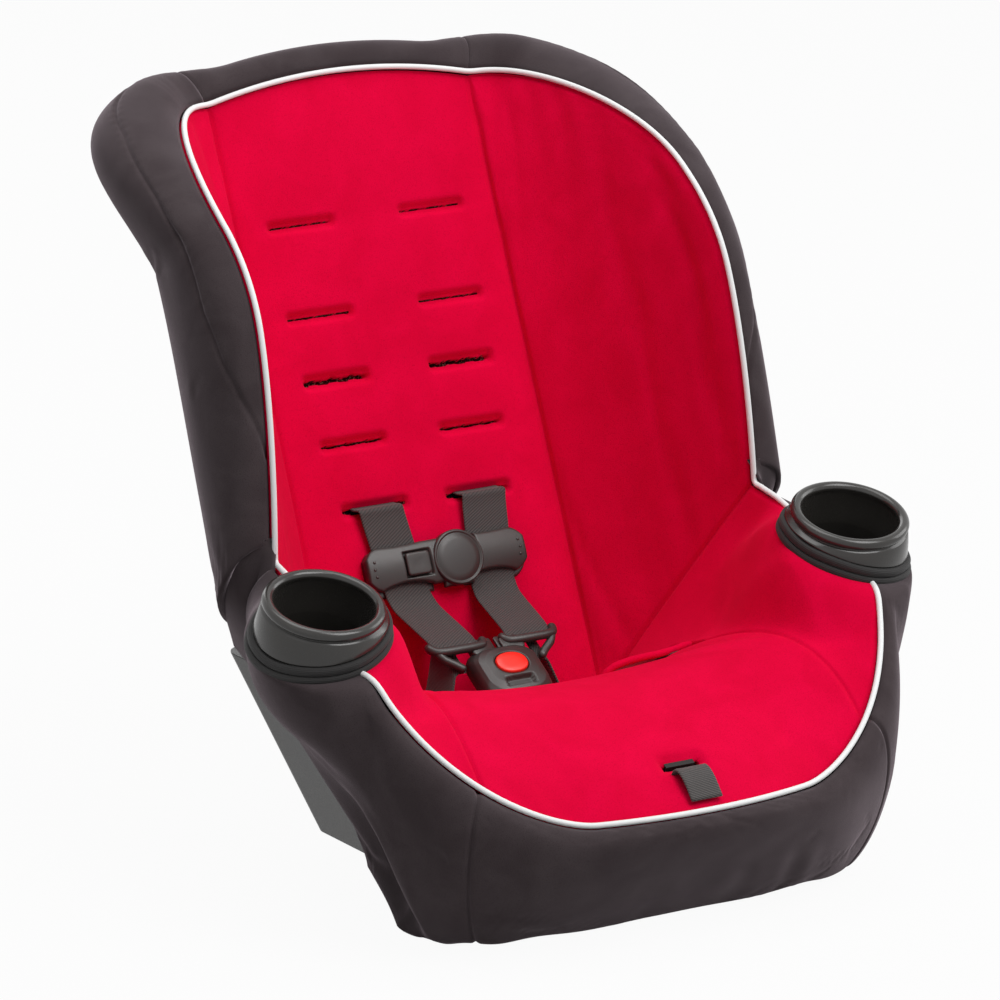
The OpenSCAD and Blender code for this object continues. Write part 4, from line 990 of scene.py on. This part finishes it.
splitter_end = on_back(point(0, 51, -28))
pull = np.array([splitter_end, [0, 98, 74], [0, 52, 62], [0, -60, 60], [0, -150, 60], in_adjuster(-6, -70),
    in_adjuster(-6, -62.3)])
strap = webbing("adjuster_webbing", "adjuster_strap", pull, pull_w)
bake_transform(strap)
tab_run = ((-6, -62), (-6, -20), (-6, 1), (-8, 4.5), (-13, 6), (-22, 5), (-36, 0))
tab = np.array([in_adjuster(y, z) for y, z in tab_run])
webbing("adjuster_tab_webbing", "adjuster_tail", tab, pull_w, "adjuster_tail")
crotch = np.array([in_harness([0, -21, -10]), in_harness([0, -31, -10]), [0, crotch_y, 109], [0, crotch_y, 85]])
webbing("crotch_webbing", "crotch_strap", crotch, web_w, "seat")

# Buckle, tongues and chest clip: moulded in tough matt acetal, charcoal, with rounded edges; the
# button is red ABS under a spring.
matt_acetal = grained_skin("moulded acetal", "#2d2a29", "#35312f", 0.38, 0.8, 0.06)
red_abs = grained_skin("moulded red ABS", "#f0281c", "#f43a2c", 0.34, 1.5, 0.02)


def rounded(w, h, r, y, z, each=16):
    """A rounded rectangle as a ring of points, its middle at (0, y), all at height z."""
    turn = np.radians(np.concatenate([np.linspace(90 * k, 90 * k + 90, each) for k in range(4)]))
    x = np.repeat([1, -1, -1, 1], each) * (w / 2 - r) + r * np.cos(turn)
    y = y + np.repeat([1, 1, -1, -1], each) * (h / 2 - r) + r * np.sin(turn)
    return point(x, y, z)


def oval(w, h, y, z, count=64):
    """An oval as a ring of points, its middle at (0, y), all at height z."""
    turn = circle(count) + np.pi / count
    x, up = (np.sign(c) * np.abs(c) ** 0.9 for c in (np.cos(turn), np.sin(turn)))
    return point(w / 2 * x, y + h / 2 * up, z)


def between(rings, steps):
    """More rings between the given ones."""
    return [mix(a, b, k / steps) for a, b in zip(rings, rings[1:]) for k in range(steps)] + [rings[-1]]


def stacked(rings, inward=True):
    """A closed skin through rings of points, as points and faces."""
    return np.concatenate(rings), skin_faces(len(rings), len(rings[0]), inward)


well = [oval(27.2, 21.2, 0, -11.5), oval(27.2, 21.2, 0, -0.4), oval(27.8, 21.8, 0, 0.5), oval(29.6, 23.4, -0.2, 0.8)]
brow = between([well[-1], rounded(40, 36, 15, -1.6, -0.3), rounded(48.5, 43, 15, -2.6, -2.2),
    rounded(53, 47, 14, -3, -4.6)], 9)
window_x, window_h, window_y, window_deep = 12.0, 4.2, -17.0, 4.2
for ring in brow:
    window = np.minimum(window_x - np.abs(ring[:, 0]), window_h - np.abs(ring[:, 1] - window_y))
    ring[:, 2] -= window_deep * ease(window / 1.3)
sides = [rounded(w, h, r, -3, z) for w, h, r, z in ((55.4, 49.4, 11, -7.5), (56, 50, 9, -10.5), (56, 50, 9, -16),
    (55, 49, 9, -18.6), (52.5, 46.5, 8, -19.8), (48, 42, 7, -20))]
points, faces = stacked(well + brow[1:] + sides)
piece("buckle_body", in_harness(points), faces, matt_acetal, "seat", "buckle_housing")
points, faces = stacked([oval(w, h, 0, z) for w, h, z in ((26, 20, -6.5), (26, 20, 0.6), (25.4, 19.4, 1.4),
    (23.6, 17.6, 1.9), (14, 10, 2.3), (4, 3, 2.4))])
piece("buckle_button_cap", in_harness(points), faces, red_abs, "buckle_button", "buckle_button")
# The spring under the button gets a mesh of its own.
press_way = tuple(float(c) for c in in_harness([0, 0, 1]) - buckle_at)
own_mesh(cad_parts["buckle_spring"], "buckle_button_press", press_way, metres(in_harness([0, 0, -17])), keep=0.55)


def rod(points, r, sides=16):
    """A round-ended rod through points, as points and faces."""
    path = smooth_path(points, 1.2)
    run = run_of(path)
    end = np.minimum(run, run[-1] - run)
    girth = r * np.sqrt(np.clip(1 - np.maximum(0, 1 - end / r) ** 2, 0.02, 1))
    side = unit(np.cross(unit(np.gradient(path, axis=0)), [0.0, 0.0, 1.0]))
    return round_rings(path, side, girth, sides), skin_faces(len(path), sides)


def joined(parts):
    """Several closed meshes as one list of points and one of faces."""
    points, faces, base = [], [], 0
    for p, f in parts:
        points.append(p)
        faces += [tuple(k + base for k in g) for g in f]
        base += len(p)
    return np.concatenate(points), faces


# Each tongue: a hooked bar that the webbing turns round, an arm beside the housing and a neck with the blade in it
bar = rod([[8.5, 34, -6], [9, 29, -5], [12, 25.6, -4], [20, 24.4, -3.4], [31, 24.2, -3.2], [43, 24.6, -3.6],
    [50, 26.4, -4.6], [53, 31, -5.8], [53.4, 36, -6.6]], 3.5)
arm = rod([[50.5, 27.5, -5], [46, 20, -7], [38.5, 14, -8.5], [32.5, 8, -9.5]], 3.3)
neck = stacked([rounded(w, h, r, 23.2, z) + [13.0, 0, 0] for w, h, r, z in ((17, 11, 2, -10.6),
    (18.6, 12.6, 2.8, -10), (19, 13, 3, -8.8), (19, 13, 3, -5.2), (18.6, 12.6, 2.8, -4), (17, 11, 2, -3.4))])
blade = stacked([rounded(w, h, r, 22.6, z) + [11.0, 0, 0] for w, h, r, z in ((18, 20, 1.5, -8.2), (19, 21, 2, -7.9),
    (19, 21, 2, -6.1), (18, 20, 1.5, -5.8))])
points, faces = joined([bar, arm, neck, blade])
for side, hand in hands:
    piece(hand + "_tongue_moulding", in_harness(sided(side, points)), flipped(faces, side < 0), matt_acetal,
        hand + "_tongue", hand + "_tongue")

# Lap strap lips: the knit's edge bound round each lap slot, so it stands up as a lip over the strap, with the pale
# tricot of the laminate on its underside.
pale_tricot = finish_named("pale tricot backing", Roughness=0.9, Base_Color=linear("#b99a94"), Sheen_Weight=0.1)[0]
lip = [[57, -44, 124], [62, -46, 133], [70, -47, 137.5], [82, -47, 139.5], [95, -47.5, 140.5], [108, -48, 141],
    [119, -49, 142.5], [128, -50, 144.5], [135, -51, 145]]
lip_path = smooth_path(lip, 2.0)
foot = lip_path * [1, 0, 0] + point(0, -37, 114 + (lip_path[:, 0] - 57) * 0.33)
lining = np.stack([mix(lip_path, foot, f) for f in np.linspace(0, 1, 6)], 1)
points, faces = rod(lip, 2.7)
lining_faces = slab_faces(np.ones((len(lip_path) - 1, 5), bool))
for side, hand in hands:
    bound = piece(hand + "_lap_lip", sided(side, points), flipped(faces, side < 0), red_brushed_knit, "seat")
    lined = sided(side, slab(lining + [0, -0.6, 0], lining + [0, 0.6, 0]))
    backing = piece(hand + "_lap_lip_backing", lined, lining_faces, pale_tricot, "seat")

# Chest clip: two moulded halves that snap together over the straps, each a front plate rolled over at
# its edges and a rear plate, with a round cover in the middle and a push tab in the left half.
clip_h, clip_off, end_x, plate_roll = 122.0, 8.0, 69.0, 2.2
tab_x, tab_y, disc_middle = -26.0, 0.4, (8.0, 0.0)


def in_clip(p):
    """A point given in the chest clip's frame: x across, y up the back, z off it."""
    return on_back(point(p[..., 0], p[..., 1] + clip_h, p[..., 2] + clip_off))


def clip_plate(xs, low, high, front, back):
    """A plate between a lower and an upper edge: its outer face rolls over at the edges."""
    x, q = np.meshgrid(xs, near_edges(0, 1, 44), indexing="ij")
    y = mix(low(x), high(x), q)
    in_from = np.minimum.reduce([y - low(x), high(x) - y, x - xs[0], xs[-1] - x])
    fall = plate_roll - np.sqrt(np.maximum(0, plate_roll**2 - np.maximum(0, plate_roll - in_from) ** 2))
    return (slab(point(x, y, front(x, y) - fall), point(x, y, back(x, y))),
        flipped(slab_faces(np.ones((len(xs) - 1, 43), bool))))


def disc_of(profile, middle, turns=72):
    """A round piece turned from a profile of (radius, height) in mm, as points and faces."""
    x, y = np.cos(circle(turns)), np.sin(circle(turns))
    return stacked([point(middle[0] + r * x, middle[1] + r * y, z) for r, z in profile], inward=False)


def flat(z):
    """An edge or a face at one level."""
    return lambda *_: z


def clip_high(x):
    """The upper edge of the front plate; its lower edge and its faces follow."""
    dip = 0.9 * np.sin(np.pi * np.clip((np.abs(x) - 20) / 36, 0, 1))
    return 17.0 - dip - 9 * np.clip((np.abs(x) - 55) / 14, 0, 1) ** 2.4


def clip_low(x):
    arch = 4.4 * np.maximum(0, np.sin(np.pi * np.clip((np.abs(x) - 14) / 44, 0, 1))) ** 0.7
    return -17.2 + arch + 9 * np.clip((np.abs(x) - 55) / 14, 0, 1) ** 2.4


def clip_front(x, y):
    return 8.4 - 2.4 * (x / end_x) ** 2 - 2.6 * (y / 16) ** 2


def tab_recess(x, y):
    inside = np.minimum(12.0 - np.abs(x - tab_x), 10.6 - np.abs(y - tab_y))
    return clip_front(x, y) - 3.0 * ease(inside / 1.4)


def clip_back(x, y):
    return np.where(np.abs(x) > 63.6, -3.5, 1.5)


def rear_low(x):
    """The lower edge of the rear plate; its upper edge follows."""
    return -21.5 + 9 * np.clip((np.abs(x) - 56) / 13, 0, 1) ** 2.2


def rear_high(x):
    return 13.0 - 7 * np.clip((np.abs(x) - 58) / 11, 0, 1) ** 2.2


def grip_dots(side):
    """Three raised dots at one end of the clip."""
    dots = []
    for k in (-1, 0, 1):
        x, y = side * (62.5 + 0.8 * (k == 0)), 5.6 * k + 0.5
        dot, faces = disc_of([(1.25, 0.0), (1.15, 0.5), (0.8, 0.9), (0.3, 1.05)], (x, y), 14)
        dots.append((dot + [0, 0, clip_front(x, y) - 0.15], faces))
    return dots


cover_disc = disc_of([(21.2, 1.6), (21.4, 7.6), (21.0, 8.9), (20.2, 9.5), (19.3, 9.4), (18.8, 8.6), (18.3, 8.5),
    (17.8, 8.9), (13, 9.6), (6, 10.0), (1.5, 10.1)], disc_middle)
bridge = clip_plate(np.linspace(-6, 20, 30), flat(-21), flat(15.4), flat(5.4), flat(1.6))
left_plate = clip_plate(np.linspace(-end_x, -4, 84), clip_low, clip_high, tab_recess, clip_back)
right_plate = clip_plate(np.linspace(26, end_x, 60), clip_low, clip_high, clip_front, clip_back)
left_rear, right_rear = (clip_plate(np.linspace(first, last, 40), rear_low, rear_high, flat(-1.5), flat(-3.5))
    for first, last in ((-end_x, -12), (14, end_x)))
for hand, parts in (("left", [left_plate, cover_disc, bridge, left_rear, *grip_dots(-1)]),
        ("right", [right_plate, right_rear, *grip_dots(1)])):
    points, faces = joined(parts)
    piece(f"clip_{hand}_moulding", in_clip(points), faces, matt_acetal, f"clip_{hand}", f"clip_{hand}_half")
points, faces = stacked([rounded(w, h, r, tab_y, z) + [tab_x, 0, 0] for w, h, r, z in ((20.4, 17.6, 2.6, 4.6),
    (20.4, 17.6, 2.6, 7.2), (19.6, 16.8, 2.4, 8.0), (17, 14, 2, 8.2), (8, 6, 1, 7.9))])
piece("clip_push_tab_cap", in_clip(points), faces, matt_acetal, "clip_tab", "clip_push_tab")

# Foam blocks in the wings: moulded polystyrene beads of about 3.5 mm, white, hidden between the
# shell and the border.
bead_foam, tree, shader = finish_named("moulded bead foam", Roughness=0.85, Base_Color=linear("#e9e9e4"))
place = add(tree, "TexCoord", {}).outputs["Object"]
beads = add(tree, "TexVoronoi", {"Vector": place, "Scale": 1000 / 3.5})
relief = add(tree, "Bump", {"Height": beads.outputs["Distance"], "Strength": 0.4, "Distance": 0.0006})
feed(shader, Normal=relief.outputs["Normal"])
dress(bead_foam, "left_wing_foam", "right_wing_foam")

# Studio: a pale floor and backdrop under large soft lamps, and the camera at the photograph's view.
# Rays from the camera and off glossy surfaces see the backdrop as white.
floor_half, white_share, ambient = 15, 0.95, 0.28
floor_corners = [(x * floor_half, y * floor_half, 0) for x, y in ((-1, -1), (1, -1), (1, 1), (-1, 1))]
floor_mesh = bpy.data.meshes.new("floor")
floor_mesh.from_pydata(floor_corners, [], [(0, 1, 2, 3)])
floor = bpy.data.objects.new("floor", floor_mesh)
bpy.context.scene.collection.objects.link(floor)
floor_paper, tree, shader = finish_named("white studio paper", Roughness=0.9, Base_Color=linear("#b9b9b9"))
rays = add(tree, "LightPath", {}).outputs
straight = add(tree, "Math", {0: rays["Is Camera Ray"], 1: rays["Is Glossy Ray"]}, operation="MAXIMUM")
share = add(tree, "Math", {0: straight.outputs["Value"], 1: white_share}, operation="MULTIPLY")
glow = add(tree, "Emission", {"Color": (1, 1, 1, 1), "Strength": 1.0})
blank = add(tree, "MixShader", {0: share.outputs["Value"], 1: shader.outputs["BSDF"], 2: glow.outputs["Emission"]})
tree.links.new(blank.outputs["Shader"], tree.nodes["Material Output"].inputs["Surface"])
floor_mesh.materials.append(floor_paper)
world = bpy.data.worlds.new("studio")
bpy.context.scene.world = world
world.use_nodes = True
tree = world.node_tree
rays = add(tree, "LightPath", {}).outputs
straight = add(tree, "Math", {0: rays["Is Camera Ray"], 1: rays["Is Glossy Ray"]}, operation="MAXIMUM")
through = add(tree, "Math", {0: straight.outputs["Value"], 1: rays["Is Transmission Ray"]}, operation="MAXIMUM")
strength = add(tree, "MapRange", {"Value": through.outputs["Value"], "To Min": ambient, "To Max": 1.0})
sky = tree.nodes["Background"]
sky.inputs["Color"].default_value = (1, 1, 1, 1)
feed(sky, Strength=strength.outputs["Result"])
aim = Vector((0, 0, 0.266))
for name, place, size, power in (
    ("key softbox", (0.9, -2.2, 3.2), 2.2, 92),
    ("fill softbox", (-3.0, -1.6, 1.7), 2.4, 4),
    ("side softbox", (3.4, -0.6, 1.6), 2.0, 34),
    ("top softbox", (-0.3, 0.1, 3.4), 2.0, 40),
    ("rear softbox", (0.6, 3.4, 2.2), 2.2, 26),
):
    lamp = bpy.data.lights.new(name, "AREA")
    lamp.shape, lamp.size, lamp.energy = "SQUARE", size, power
    holder = bpy.data.objects.new(name, lamp)
    holder.location = place
    holder.rotation_euler = (aim - Vector(place)).to_track_quat("-Z", "Y").to_euler()
    bpy.context.scene.collection.objects.link(holder)
lens = bpy.data.cameras.new("camera")
lens.sensor_width, lens.lens = 36.0, 233.44
lens.clip_start, lens.clip_end = 0.1, 100
camera = bpy.data.objects.new("camera", lens)
bearing, rise, roll, distance = math.radians(-29.9606), math.radians(14.198), math.radians(-1.2964), 4.83189
away = Vector((math.sin(bearing) * math.cos(rise), -math.cos(bearing) * math.cos(rise), math.sin(rise)))
camera.rotation_mode = "QUATERNION"
camera.location = aim + away * distance
looking = (-away).to_track_quat("-Z", "Y").to_matrix()
camera.rotation_quaternion = (looking @ Matrix.Rotation(roll, 3, "Z")).to_quaternion()
bpy.context.scene.collection.objects.link(camera)
bpy.context.scene.camera = camera
bpy.context.scene.view_settings.view_transform = "Standard"
